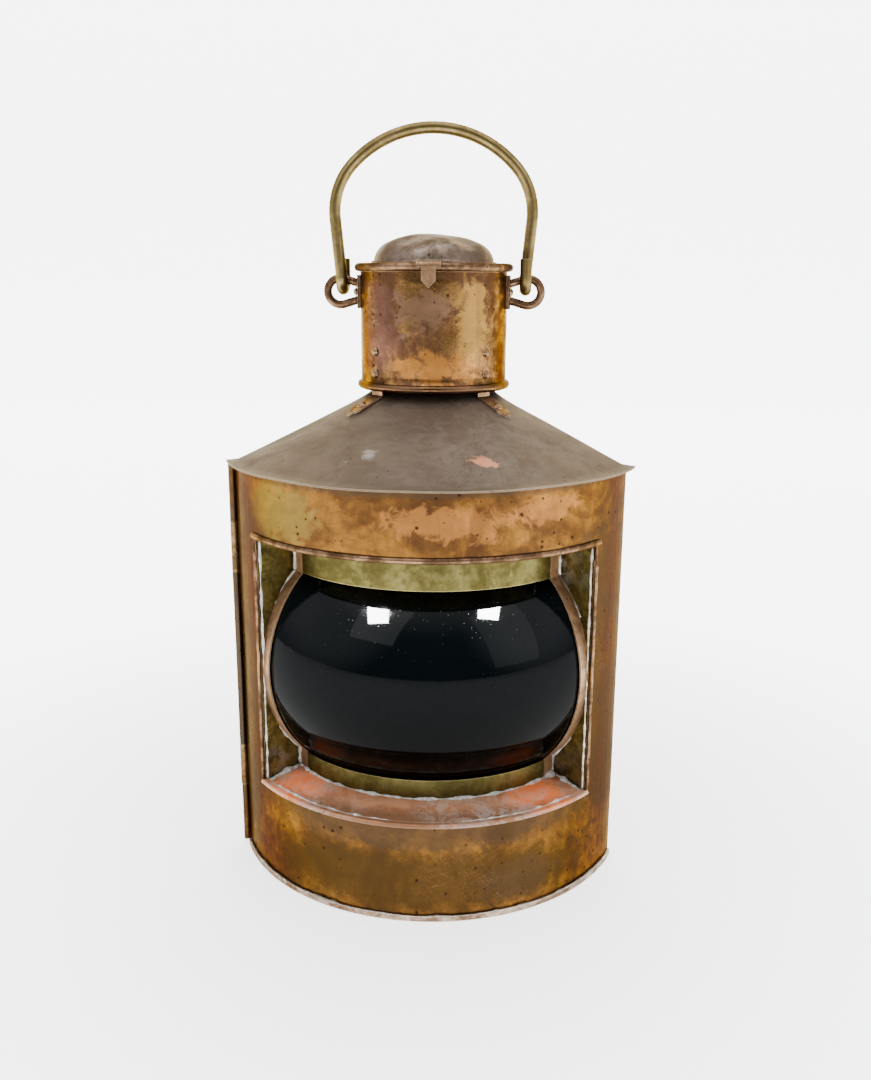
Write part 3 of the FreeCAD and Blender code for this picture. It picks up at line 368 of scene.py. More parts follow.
@dataclass(frozen=True)
class Metal:
    """Old sheet metal: three mottled tones, spots, runs, scratches and rubbed edges.

    Attributes:
        name: the finish.
        tones: dark, middle and light colour.
        worn: colour of bare metal on edges and in scratches.
        scale: size of the mottling, in blotches per metre.
        contrast: softness of the mottling; small is sharp.
        rough: roughness of the light and of the dark tone.
        spots: share of dark spots.
        runs: strength of stains that ran down.
        scratches: strength of scratches.
        wear: strength of rubbed edges.
        wear_width: width of a rubbed edge.
        metallic: share of bare metal shine.
        coat: weight of old lacquer.
        bump: depth of the surface's unevenness, in metres.
        dust: strength of pale dust and scuffs.
        patches: places with a colour of their own, or with painted light or shade.
    """

    name: str
    tones: tuple[Colour, Colour, Colour]
    worn: Colour
    scale: float = 28.0
    contrast: float = 0.34
    rough: tuple[float, float] = (0.3, 0.5)
    spots: float = 0.12
    runs: float = 0.3
    scratches: float = 0.6
    wear: float = 0.7
    wear_width: float = 0.0009
    metallic: float = 1.0
    coat: float = 0.0
    bump: float = 0.00012
    dust: float = 0.0
    patches: tuple[Patch, ...] = ()

    def material(self, effects: Effects) -> bpy.types.Material:
        """Makes the material.

        Args:
            effects: the shared node groups.

        Returns:
            The new material.
        """
        made, g, where = blank(self.name)
        blotch = g.effect(effects.mottle, where, Scale=self.scale, Contrast=self.contrast)
        shade = g.effect(effects.mottle, where, Scale=self.scale * 2.6, Contrast=self.contrast * 1.5)
        colour = g.mix(blotch, self.tones[0], self.tones[1])
        light = g.math("MULTIPLY", shade, g.span(blotch, 0.25, 1.0))
        colour = g.mix(light, colour, self.tones[2])
        rough = g.span(blotch, 0.0, 1.0, self.rough[1], self.rough[0])
        for patch in self.patches:
            mask = g.effect(effects.patch, where, Centre=patch.centre,
                            Stretch=tuple(1.0 / h for h in patch.half), Ragged=patch.ragged)
            mask = g.math("MULTIPLY", mask, patch.amount)
            colour = g.mix(mask, colour, patch.colour)
            rough = g.math("ADD", rough, g.math("MULTIPLY", mask, patch.rough))
        stain = g.effect(effects.runs, where, Scale=self.scale * 2.2, Amount=self.runs)
        colour = g.mix(stain, colour, tuple(0.45 * c for c in self.tones[0]))
        spot = g.effect(effects.spots, where, Scale=210.0, Amount=self.spots)
        colour = g.mix(spot, colour, tuple(0.35 * c for c in self.tones[0]))
        scuff = g.math("MULTIPLY", g.effect(effects.mottle, where, Scale=90.0, Contrast=0.12), self.dust)
        scuff = g.math("MULTIPLY", scuff, g.span(g.noise(where, 14.0, 3.0), 0.46, 0.62))
        colour = g.mix(scuff, colour, PALE_DUST)
        line = g.effect(effects.scratches, where, Scale=46.0, Amount=self.scratches)
        rubbed = g.effect(effects.edge_wear, where, Width=self.wear_width, Ragged=1.6)
        edge = g.math("MULTIPLY", rubbed, self.wear)
        colour = g.mix(g.math("MAXIMUM", line, edge), colour, self.worn)
        rough = g.math("ADD", rough, g.math("MULTIPLY", g.math("MAXIMUM", spot, scuff), 0.25))
        rough = g.math("SUBTRACT", rough, g.math("MULTIPLY", edge, 0.1))
        grain = g.noise(where, 900.0, 3.0, 0.6)
        waves = g.noise(where, 42.0, 3.0, 0.5)
        height = g.math("ADD", waves, g.math("MULTIPLY", grain, 0.09))
        height = g.math("SUBTRACT", height, g.math("MULTIPLY", line, 0.12))
        principled(g, height, 0.6, self.bump * 6.0, Base_Color=colour, Roughness=rough,
                   Metallic=self.metallic, Specular_Tint=EDGE_TINT, Coat_Weight=self.coat,
                   Coat_Roughness=0.22)
        return made


@dataclass(frozen=True)
class DarkGlass:
    """Thick, very dark coloured glass with faint smears and a painted reflection of copper at its foot.

    Attributes:
        name: the finish.
        colour: what little light comes through.
        painted_copper_reflection: a painted reflection, the brown that the copper band under the barrel would
            show in its foot.
        foot: height where the painted reflection ends.
        shine: strength of its reflections.
    """

    name: str = "dark lens glass"
    colour: Colour = (0.00008, 0.00016, 0.0002)
    painted_copper_reflection: Colour = (0.0022, 0.0006, 0.0002)
    foot: float = 0.0655
    shine: float = 0.018

    def material(self, effects: Effects) -> bpy.types.Material:
        """Makes the material.

        Args:
            effects: the shared node groups.

        Returns:
            The new material.
        """
        made, g, where = blank(self.name)
        smear = g.effect(effects.mottle, where, Scale=22.0, Contrast=0.3)
        speck = g.effect(effects.spots, where, Scale=520.0, Amount=0.16)
        line = g.effect(effects.scratches, where, Scale=30.0, Amount=0.7)
        colour = g.mix(g.math("MULTIPLY", speck, 0.25), self.colour, SPECK)
        colour = g.mix(g.math("MULTIPLY", line, 0.1), colour, SMEAR)
        low = g.node("ShaderNodeSeparateXYZ", {0: where}).outputs[2]
        # Painted reflection: the barrel's foot is tinted brown as if it mirrored the copper under it.
        colour = g.mix(g.span(low, self.foot, self.foot + 0.012, 0.8, 0.0), colour, self.painted_copper_reflection)
        rough = g.math("ADD", g.span(smear, 0.2, 1.0, 0.03, 0.09), g.math("MULTIPLY", speck, 0.3))
        principled(g, g.noise(where, 26.0, 2.0, 0.4), 0.2, 0.0004, Base_Color=colour, Roughness=rough,
                   IOR=GLASS_IOR, Specular_IOR_Level=self.shine, Transmission_Weight=0.15, Metallic=0.0)
        return made


@dataclass(frozen=True)
class Matt:
    """A crumbly or woven matt stuff: solder crust, putty, wick cotton.

    Attributes:
        name: the finish.
        low: colour of its hollows.
        high: colour of its tops.
        scale: lumps per metre.
        rough: roughness.
        bump: depth of the lumps, in metres.
        metallic: share of metal shine.
        weave: threads per metre, or 0 for none.
    """

    name: str
    low: Colour
    high: Colour
    scale: float = 700.0
    rough: float = 0.85
    bump: float = 0.0004
    metallic: float = 0.0
    weave: float = 0.0

    def material(self, effects: Effects) -> bpy.types.Material:
        """Makes the material.

        Args:
            effects: the shared node groups.

        Returns:
            The new material.
        """
        made, g, where = blank(self.name)
        lumps = g.noise(where, self.scale, 5.0, 0.65)
        blotch = g.effect(effects.mottle, where, Scale=self.scale * 0.3, Contrast=0.3)
        top = g.math("MULTIPLY", lumps, g.span(blotch, 0.0, 1.0, 0.5, 1.5), clamp=True)
        height = lumps
        if self.weave:
            wave = {"Vector": where, "Scale": self.weave}
            across, along = (g.node("ShaderNodeTexWave", wave, bands_direction=d).outputs[1] for d in "XZ")
            height = g.math("ADD", height, g.math("MAXIMUM", across, along))
        principled(g, height, 0.8, self.bump, Base_Color=g.mix(top, self.low, self.high),
                   Roughness=g.span(blotch, 0.0, 1.0, self.rough, self.rough - 0.25), Metallic=self.metallic)
        return made


Finish = Metal | Matt | DarkGlass


class Stock(Enum):
    """The finishes that more than one sub-assembly uses."""

    SHELL = Metal("lacquered shell copper",
                  ((0.045, 0.018, 0.006), (0.115, 0.047, 0.009), (0.185, 0.08, 0.016)),
                  worn=(0.5, 0.26, 0.14), scale=26.0, rough=(0.26, 0.42), spots=0.16, runs=0.25, coat=0.08)
    BROWN = Metal("brown rim copper", ((0.055, 0.03, 0.016), (0.15, 0.085, 0.046), (0.26, 0.155, 0.088)),
                  worn=(0.46, 0.3, 0.2), scale=60.0, rough=(0.34, 0.52), wear=0.9, wear_width=0.0006)
    OLIVE = Metal("olive band brass", ((0.052, 0.042, 0.012), (0.096, 0.08, 0.024), (0.14, 0.12, 0.042)),
                  worn=(0.36, 0.31, 0.14), scale=40.0, rough=(0.36, 0.5), runs=0.3)
    BAIL = Metal("handled bail brass", ((0.1, 0.07, 0.027), (0.165, 0.12, 0.045), (0.24, 0.18, 0.075)),
                 worn=(0.4, 0.32, 0.16), scale=30.0, rough=(0.28, 0.42), runs=0.1, scratches=0.8)
    LEAF = Metal("dark hinge brass", ((0.05, 0.028, 0.012), (0.13, 0.075, 0.032), (0.23, 0.14, 0.065)),
                 worn=(0.42, 0.29, 0.16), scale=80.0, rough=(0.36, 0.5), wear=1.0, wear_width=0.0005)
    STRAP = Metal("strap copper", ((0.12, 0.066, 0.034), (0.25, 0.145, 0.078), (0.37, 0.24, 0.14)),
                  worn=(0.6, 0.44, 0.3), scale=70.0, rough=(0.36, 0.52), wear=0.9, wear_width=0.0005)
    LAMP = Metal("stained lamp brass", ((0.16, 0.1, 0.035), (0.46, 0.33, 0.12), (0.62, 0.48, 0.2)),
                 worn=(0.74, 0.6, 0.32), scale=36.0, rough=(0.28, 0.45))
    SOOT = Metal("sooty copper", ((0.01, 0.008, 0.007), (0.03, 0.023, 0.018), (0.07, 0.05, 0.035)),
                 worn=(0.2, 0.13, 0.09), scale=40.0, rough=(0.6, 0.8), metallic=0.5, scratches=0.2)
    CRUST = Matt("solder crust", (0.16, 0.14, 0.115), (0.8, 0.78, 0.73), scale=620.0, rough=0.8)
    TIN = Matt("smooth solder", (0.2, 0.17, 0.13), (0.52, 0.46, 0.38), scale=380.0, rough=0.55, metallic=0.8)
    PUTTY = Matt("old putty", (0.22, 0.19, 0.15), (0.5, 0.46, 0.38))
    COTTON = Matt("wick cotton", (0.42, 0.38, 0.3), (0.78, 0.74, 0.62), scale=1500.0, weave=300.0)
    GLASS = DarkGlass()


class Palette:
    """Makes each finish's material once, and dresses pieces in it."""

    def __init__(self, effects: Effects) -> None:
        """Starts with no materials.

        Args:
            effects: the shared node groups.
        """
        self.effects = effects
        self.made: dict[str, bpy.types.Material] = {}

    def material(self, finish: Finish | Stock) -> bpy.types.Material:
        """The material of a finish.

        Args:
            finish: the finish.

        Returns:
            Its material, made the first time.
        """
        if isinstance(finish, Stock):
            finish = finish.value
        if finish.name not in self.made:
            self.made[finish.name] = finish.material(self.effects)
        return self.made[finish.name]

    def dress(self, finish: Finish | Stock, *pieces: bpy.types.Object) -> None:
        """Puts a finish on the whole of each piece.

        Args:
            finish: the finish.
            pieces: the pieces.
        """
        material = self.material(finish)
        for piece in pieces:
            piece.data.materials.clear()
            piece.data.materials.append(material)
            LOG.info("%s: %s", piece.name, material.name)


# ---- meshes ------------------------------------------------------------------------------------------
def new_piece(name: str, mesh: bpy.types.Mesh, body: str) -> bpy.types.Object:
    """Adds an object that moves with a body.

    Args:
        name: the piece's name.
        mesh: its mesh.
        body: the body that carries it.

    Returns:
        The new object.
    """
    piece = bpy.data.objects.new(name, mesh)
    bpy.context.scene.collection.objects.link(piece)
    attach(piece, body)
    return piece


def smooth(mesh: bpy.types.Mesh, degrees: float = 32.0) -> None:
    """Shades a mesh smooth, with edges kept where it turns by more than an angle."""
    mesh.shade_smooth()
    mesh.set_sharp_from_angle(angle=math.radians(degrees))


def lumpy_tube(name: str, path: Sequence[Vector], radius: float, body: str, lumps: float = 0.5,
               flat: float = 0.75, seed: float = 0.0) -> bpy.types.Object:
    """A run of solder: a tube whose thickness comes and goes along a path.

    Args:
        name: the piece's name.
        path: points along its middle.
        radius: its mean radius.
        body: the body that carries it.
        lumps: how much the radius varies.
        flat: how flat the run lies.
        seed: shifts the lumps.

    Returns:
        The new object.
    """
    mesh = bpy.data.meshes.new(name)
    sides, verts, faces = 7, [], []
    shift = Vector((seed, 2.3 * seed, 0.7 * seed))
    for n, point in enumerate(path):
        ahead = path[min(n + 1, len(path) - 1)] - path[max(n - 1, 0)]
        ahead.normalize()
        side = ahead.cross(UP if abs(ahead.z) < 0.9 else Vector((0, 1, 0)))
        side.normalize()
        up = side.cross(ahead)
        ends = math.sin(math.pi * min(1.0, (n + 0.4) / 3.0, (len(path) - n - 0.6) / 3.0) / 2.0)
        swell = max(0.25, 1.0 + lumps * 2.2 * noise.noise((point + shift) * 210.0))
        size = radius * swell * max(ends, 0.05)
        drift = radius * 0.5 * noise.noise((point + shift) * 120.0)
        for s in range(sides):
            a = 2.0 * math.pi * s / sides
            grit = 1.0 + 0.22 * noise.noise((point + shift) * 900.0 + Vector((3.0 * s, 0, 0)))
            out, over = drift + size * grit * math.cos(a), size * grit * flat * math.sin(a)
            verts.append(point + side * out + up * over)
    for n in range(len(path) - 1):
        for s in range(sides):
            a, b = n * sides + s, n * sides + (s + 1) % sides
            faces.append((a, b, b + sides, a + sides))
    faces += [tuple(range(sides))[::-1], tuple(range(len(verts) - sides, len(verts)))]
    mesh.from_pydata([tuple(v) for v in verts], [], faces)
    smooth(mesh, 60.0)
    return new_piece(name, mesh, body)


def stretch_of(points: Sequence[Vector], step: float) -> list[Vector]:
    """A straight-sided path cut into short steps.

    Args:
        points: its corners.
        step: length of a step.

    Returns:
        The points.
    """
    out = [points[0].copy()]
    for a, b in zip(points, points[1:]):
        count = max(1, int((b - a).length / step))
        out += [a.lerp(b, (n + 1) / count) for n in range(count)]
    return out


def arc_path(radius: float, height: float, from_deg: float, to_deg: float,
             step: float = 0.0008) -> list[Vector]:
    """Points along a level arc about the flame's axis."""
    count = max(3, int(math.radians(abs(to_deg - from_deg)) * radius / step))
    return [polar(radius, from_deg + (to_deg - from_deg) * n / count, height) for n in range(count + 1)]


@dataclass(frozen=True)
class Dents:
    """How far and how coarsely old sheet has moved out of shape.

    Attributes:
        depth: the most that a point moves, in metres.
        scale: dents per metre.
        grain: longest edge left in the mesh, in metres.
        radial: whether points move in and out from the flame's axis; otherwise up and down.
        knocks: single dents as (centre, radius, depth).
    """

    depth: float
    scale: float
    grain: float
    radial: bool = True
    knocks: tuple[tuple[tuple[float, float, float], float, float], ...] = ()

    def offset(self, point: Vector) -> float:
        """How far a point moves outward or up.

        Args:
            point: the point.

        Returns:
            The distance; in or down is negative.
        """
        move = self.depth * (noise.noise(point * self.scale) - 0.35)
        for centre, radius, depth in self.knocks:
            near = (point - Vector(centre)).length / radius
            if near < 1.0:
                move -= depth * (1.0 - near * near) ** 2
        return min(move, 0.00025)

    def dented(self, source: bpy.types.Object, body: str) -> bpy.types.Object:
        """Makes a dented copy of a sheet-metal piece, which then stands for it.

        Args:
            source: the piece to copy.
            body: the body that carries it.

        Returns:
            The new object.
        """
        mesh = source.data.copy()
        work = bmesh.new()
        work.from_mesh(mesh)
        bmesh.ops.remove_doubles(work, verts=work.verts, dist=1e-6)
        for _ in range(9):
            long_edges = [e for e in work.edges if e.calc_length() > self.grain]
            if not long_edges:
                break
            bmesh.ops.subdivide_edges(work, edges=long_edges, cuts=1, use_grid_fill=False)
            bmesh.ops.triangulate(work, faces=[f for f in work.faces if len(f.verts) > 3])
        for vert in work.verts:
            out = Vector((vert.co.x, vert.co.y, 0.0)).normalized() if self.radial else UP
            vert.co += out * self.offset(vert.co)
        work.to_mesh(mesh)
        work.free()
        smooth(mesh, 30.0)
        piece = new_piece(f"{source.name}_worn", mesh, body)
        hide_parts(source.name)
        return piece


# ---- sub-assemblies ----------------------------------------------------------------------------------
Nodes = Mapping[str, bpy.types.Object]


def pick(nodes: Nodes, *names: str) -> list[bpy.types.Object]:
    """The named pieces."""
    return [nodes[name] for name in names]


@dataclass
class Housing:
    """The copper body: curved front, fixed wall, door frame, base and roof.

    Attributes:
        nodes: the lantern's pieces.
        palette: the finishes.
        front_radius: outer radius of the curved front.
        corner_deg: azimuth of a front corner; not used.
        window_deg: azimuth of the window's side edges.
        seam: mean radius of the solder along the base.
    """

    nodes: Nodes
    palette: Palette
    front_radius: float = 0.107
    corner_deg: float = 69.2
    window_deg: float = 52.0
    seam: float = 0.0006

    def build(self) -> None:
        """Dents the sheet, dresses it, and lays the solder round the base."""
        low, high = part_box("window_bead")[0].z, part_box("roof")[0].z
        shell = Dents(0.0003, 24.0, 0.012).dented(self.nodes["front_shell"], "case")
        self.palette.dress(self.shell_finish(low, high), shell)
        self.palette.dress(Stock.SHELL, *pick(self.nodes, "right_wall", "door_frame"))
        knocks = (((-0.045, -0.075, 0.235), 0.03, 0.0012), ((0.058, -0.062, 0.232), 0.026, 0.001),
                  ((0.01, -0.09, 0.228), 0.022, 0.0008))
        roof = Dents(0.0007, 19.0, 0.006, radial=False, knocks=knocks).dented(self.nodes["roof"], "case")
        self.palette.dress(self.roof_finish(), roof)
        self.palette.dress(self.base_finish(), self.nodes["base_pan"])
        self.palette.dress(Stock.SOOT, self.nodes["flue"])
        self.palette.dress(Stock.BROWN, self.nodes["window_bead"])
        self.side_folds(low)
        self.base_solder()

    def shell_finish(self, window_high: float, eave: float) -> Metal:
        """The front's lacquered copper: amber bands, brown stiles and stains.

        Args:
            window_high: height of the window's upper edge.
            eave: height of the eave.

        Returns:
            The finish.
        """
        window_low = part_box("sill")[0].z
        r = self.front_radius
        brown, amber = (0.04, 0.024, 0.012), (0.036, 0.0185, 0.0042)
        rosy, olive = (0.26, 0.105, 0.026), (0.12, 0.08, 0.018)
        knuckle, stile = (0.05, 0.026, 0.014), (0.034, 0.024, 0.015)
        patches = (
            Patch((0, -r, window_low * 0.42), (0.13, 0.13, window_low * 0.42), amber, 0.85, 0.3),
            Patch((0, -r, window_low - 0.002), (0.13, 0.13, 0.012), brown, 0.72, 0.42),
            Patch(tuple(polar(r, 28, window_low * 0.36)), (0.026, 0.03, 0.013), brown, 0.5, 0.6),
            Patch(tuple(polar(r, -40, (window_high + eave) / 2)), (0.03, 0.03, 0.017), olive, 0.7, 0.4),
            Patch(tuple(polar(r, 8, window_high + 0.019)), (0.036, 0.03, 0.009), rosy, 0.6, 0.75),
            Patch(tuple(polar(r, 33, window_high + 0.024)), (0.02, 0.02, 0.008), rosy, 0.5, 0.8),
            Patch((0, -r, eave), (0.2, 0.2, 0.0045), brown, 0.7, 0.3),
            Patch(tuple(polar(r, -73, eave / 2)), (0.0075, 0.012, 0.14), knuckle, 0.95, 0.1),
            *(Patch(tuple(polar(r, side * 61, (window_low + window_high) / 2)), (0.034, 0.045, 0.12), stile,
                    0.92, 0.2) for side in (-1, 1)),
        )
        return Metal("front shell copper",
                     ((0.042, 0.018, 0.006), (0.105, 0.045, 0.0075), (0.17, 0.074, 0.013)),
                     worn=(0.36, 0.19, 0.09), scale=24.0, rough=(0.25, 0.4), spots=0.2, runs=0.28,
                     scratches=0.18, coat=0.05, patches=patches)

    @staticmethod
    def roof_finish() -> Metal:
        """The roof's dull copper, with a bare rosy place, pale scuffs and painted shade round the drum's
        foot.

        Returns:
            The finish.
        """
        bare, pale, dark = (0.5, 0.21, 0.11), (0.36, 0.32, 0.27), (0.05, 0.036, 0.026)
        patches = (Patch((0.03, -0.083, 0.229), (0.0065, 0.004, 0.009), bare, 0.95, 1.2),
                   Patch((-0.038, -0.083, 0.229), (0.006, 0.005, 0.006), pale, 0.7, 0.6),
                   Patch((-0.026, -0.079, 0.231), (0.005, 0.006, 0.006), pale, 0.6, 0.7),
                   # Painted shade: the dark patch darkens the roof where the drum's rim shades it.
                   Patch((0.0, -0.04, 0.251), (0.05, 0.014, 0.006), dark, 0.6, 0.4),
                   Patch((0.0, 0.0, 0.2176), (0.3, 0.3, 0.0011), (0.12, 0.095, 0.065), 0.5, 0.3))
        return Metal("weathered roof copper",
                     ((0.085, 0.061, 0.044), (0.11, 0.08, 0.059), (0.135, 0.1, 0.075)),
                     worn=(0.3, 0.22, 0.15), scale=24.0, contrast=0.5, rough=(0.46, 0.58), spots=0.12,
                     runs=0.1, scratches=0.12, dust=0.05, metallic=0.75, bump=0.0002, patches=patches)

    @staticmethod
    def base_finish() -> Metal:
        """The base pan's dull copper with solder wiped over its edge."""
        return Metal("base pan copper", ((0.12, 0.07, 0.04), (0.3, 0.19, 0.12), (0.5, 0.42, 0.34)),
                     worn=(0.66, 0.58, 0.5), scale=55.0, rough=(0.4, 0.6), dust=0.8, wear=0.9)

    def side_folds(self, window_high: float) -> None:
        """Lays the thin folds of sheet along the window's upright edges.

        Args:
            window_high: height of the window's upper edge.
        """
        window_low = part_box("sill")[0].z
        for side, name in ((-1, "left"), (1, "right")):
            path = stretch_of([polar(self.front_radius, side * (self.window_deg + 0.35), z)
                               for z in (window_low, window_high)], 0.003)
            fold = lumpy_tube(f"{name}_window_fold", path, 0.00085, "case", 0.05, 1.0, side * 4.0)
            self.palette.dress(Stock.BROWN, fold)

    def base_solder(self) -> None:
        """Lays broken runs of solder along the base pan's edge."""
        edge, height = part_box("base_pan")[0].y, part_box("base_pan")[1].z
        spans = ((-66, -41), (-36, -22), (-17, -4), (3, 9), (16, 31), (40, 66))
        for n, (start, stop) in enumerate(spans):
            run = lumpy_tube(f"base_solder_{n}", arc_path(-edge - 0.0003, height, start, stop), self.seam,
                             "case", 0.7, 0.6, 1.7 * n)
            self.palette.dress(Stock.TIN, run)


@dataclass
class Window:
    """The lens, its bands and strips, the cheeks and the sill, with their crusted solder.

    Attributes:
        nodes: the lantern's pieces.
        palette: the finishes.
        band_radius: outer radius of the lens bands.
        collar_radius: outer radius of the lens's straight collars.
        barrel: heights where the lens's barrel starts and ends.
        shell_radius: inner radius of the curved front.
        window_deg: azimuth of the window's side edges.
        strip_deg: azimuth of the side strips' inner edges.
        cheek_deg: azimuth where a cheek meets its strip.
        split: height where a strip's solder breaks off and starts again.
    """

    nodes: Nodes
    palette: Palette
    band_radius: float = 0.0839
    collar_radius: float = 0.0824
    barrel: tuple[float, float] = (0.0643, 0.163)
    shell_radius: float = 0.106
    window_deg: float = 52.0
    strip_deg: float = 48.6
    cheek_deg: float = 54.6
    split: float = 0.11

    def build(self) -> None:
        """Dresses the window's pieces and lays their solder."""
        self.palette.dress(Stock.GLASS, self.nodes["lens"])
        self.palette.dress(self.sill_finish(), self.nodes["sill"])
        self.palette.dress(Stock.OLIVE, *pick(self.nodes, "lower_lens_band", "upper_lens_band", "soffit",
                                              "right_lens_channel", "left_lens_channel"))
        self.palette.dress(self.cheek_finish(), *pick(self.nodes, "right_cheek", "left_cheek"))
        self.palette.dress(self.strip_finish(), *pick(self.nodes, "right_lens_strip", "left_lens_strip"))
        self.palette.dress(Stock.PUTTY, *pick(self.nodes, "lower_lens_putty", "upper_lens_putty"))
        self.solder()

    def sill_finish(self) -> Metal:
        """The sill's bare copper, with painted highlights as two bright patches on its left and right.

        Returns:
            The finish.
        """
        lip, height = (corner.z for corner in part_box("sill"))
        bright, brown, rose = (1.0, 0.21, 0.045), (0.15, 0.075, 0.04), (0.5, 0.27, 0.16)
        # The two bright patches at -41 and 38 degrees are painted highlights.
        patches = (Patch(tuple(polar(0.096, -41, height)), (0.016, 0.02, 0.02), bright, 0.95, 0.35),
                   Patch(tuple(polar(0.096, 38, height)), (0.018, 0.02, 0.02), bright, 0.85, 0.45),
                   Patch(tuple(polar(0.0855, 0, height)), (0.06, 0.006, 0.02), rose, 0.4, 0.6),
                   Patch(tuple(polar(0.1085, 0, lip + 0.0008)), (0.12, 0.08, 0.0019), brown, 0.9, 0.1))
        return Metal("bare sill copper", ((0.3, 0.115, 0.055), (0.45, 0.19, 0.09), (0.56, 0.265, 0.135)),
                     worn=(0.75, 0.5, 0.36), scale=50.0, rough=(0.4, 0.55), runs=0.0, spots=0.1, dust=0.3,
                     metallic=0.3, patches=patches)

    def cheek_finish(self) -> Metal:
        """The cheeks' dark brass, blotched with flux."""
        return Metal("dark cheek brass", ((0.05, 0.036, 0.01), (0.15, 0.115, 0.03), (0.25, 0.2, 0.06)),
                     worn=(0.4, 0.33, 0.17), scale=58.0, rough=(0.42, 0.6), dust=0.35, runs=0.4)

    def strip_finish(self) -> Metal:
        """The side strips' rubbed copper."""
        return Metal("rubbed strip copper", ((0.16, 0.088, 0.043), (0.27, 0.155, 0.08), (0.38, 0.235, 0.13)),
                     metallic=0.5, worn=(0.55, 0.37, 0.24), scale=54.0, rough=(0.28, 0.44), wear=0.8,
                     wear_width=0.0006, runs=0.1)

    def strip_line(self, side: int, offset: float, degrees: float, steps: int = 110) -> list[Vector]:
        """Points up a side strip's outer face.

        Args:
            side: -1 for the -X strip, 1 for the other.
            offset: distance out of the strip's face.
            degrees: azimuth of the line.
            steps: number of steps.

        Returns:
            The points, from the sill up.
        """
        low, high = (corner.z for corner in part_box("right_lens_strip"))
        middle, half = sum(self.barrel) / 2, (self.barrel[1] - self.barrel[0]) / 2
        rise = -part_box("lens")[0].y - self.collar_radius
        ball = (half ** 2 + rise ** 2) / (2 * rise)
        points = []
        for n in range(steps + 1):
            z = low + (high - low) * n / steps
            away = abs(z - middle)
            bulge = math.sqrt(ball ** 2 - away ** 2) - (ball - rise) if away < half else 0.0
            points.append(polar(self.band_radius + bulge + offset, side * degrees, z))
        return points

    def solder(self) -> None:
        """Lays the crusted joints between sill, bands, strips, cheeks and shell."""
        sill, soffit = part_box("sill"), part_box("soffit")
        floor_z, roof_z = sill[1].z, soffit[0].z
        runs: dict[str, tuple[list[Vector], float, float]] = {
            "sill_band": (arc_path(self.band_radius + 0.0003, floor_z + 0.0002, -47, 47), 0.0008, 0.75),
            "lip_run": (arc_path(0.1035, floor_z - 0.002, -47, -8), 0.0005, 1.0),
            "lip_run_right": (arc_path(0.1035, floor_z - 0.002, 12, 47), 0.0005, 1.0),
            "soffit_band": (arc_path(self.band_radius + 0.0002, roof_z - 0.0002, -46, 46), 0.0005, 0.8),
        }
        for side, name in ((-1, "left"), (1, "right")):
            foot = polar(self.band_radius + 0.0005, side * (self.cheek_deg - 1.2), floor_z + 0.0003)
            lip = polar(self.shell_radius - 0.001, side * (self.window_deg - 0.5), floor_z - 0.0024)
            head = polar(self.band_radius + 0.0005, side * (self.cheek_deg - 1.2), roof_z - 0.0003)
            brow = polar(self.shell_radius - 0.001, side * (self.window_deg - 0.5), roof_z + 0.0034)
            runs[f"{name}_cheek_foot"] = (stretch_of([foot, lip], 0.0008), 0.0014, 0.9)
            runs[f"{name}_cheek_head"] = (stretch_of([head, brow], 0.0008), 0.0009, 0.9)
            edge_low = lip + Vector((0, 0, 0.001))
            edge_high = Vector((lip.x, lip.y, brow.z - 0.001))
            runs[f"{name}_cheek_edge"] = (stretch_of([edge_low, edge_high], 0.0005), 0.0005, 0.55)
            whole = self.strip_line(side, 0.0001, self.cheek_deg - 1.0)
            outer = [p for p in whole if math.hypot(p.x, p.y) < self.shell_radius - 0.0045]
            runs[f"{name}_strip_low"] = ([p for p in outer if p.z < self.split], 0.0008, 0.9)
            runs[f"{name}_strip_high"] = ([p for p in outer if p.z >= self.split], 0.0008, 0.9)
            for end, z, radius in (("toe", floor_z + 0.0004, 0.0017), ("top", roof_z - 0.0005, 0.0012)):
                corners = [polar(self.band_radius + 0.0006, side * d, z)
                           for d in (self.strip_deg - 2.0, self.cheek_deg - 1.5)]
                runs[f"{name}_strip_{end}"] = (stretch_of(corners, 0.0007), radius, 0.9)
        smooth_runs = ("right_cheek_edge", "soffit_band", "right_strip_high")
        for n, (name, (path, radius, lumps)) in enumerate(runs.items()):
            stuff = Stock.TIN if name in smooth_runs else Stock.CRUST
            self.palette.dress(stuff, lumpy_tube(f"solder_{name}", path, radius, "case", lumps, 0.7, 1.3 * n))


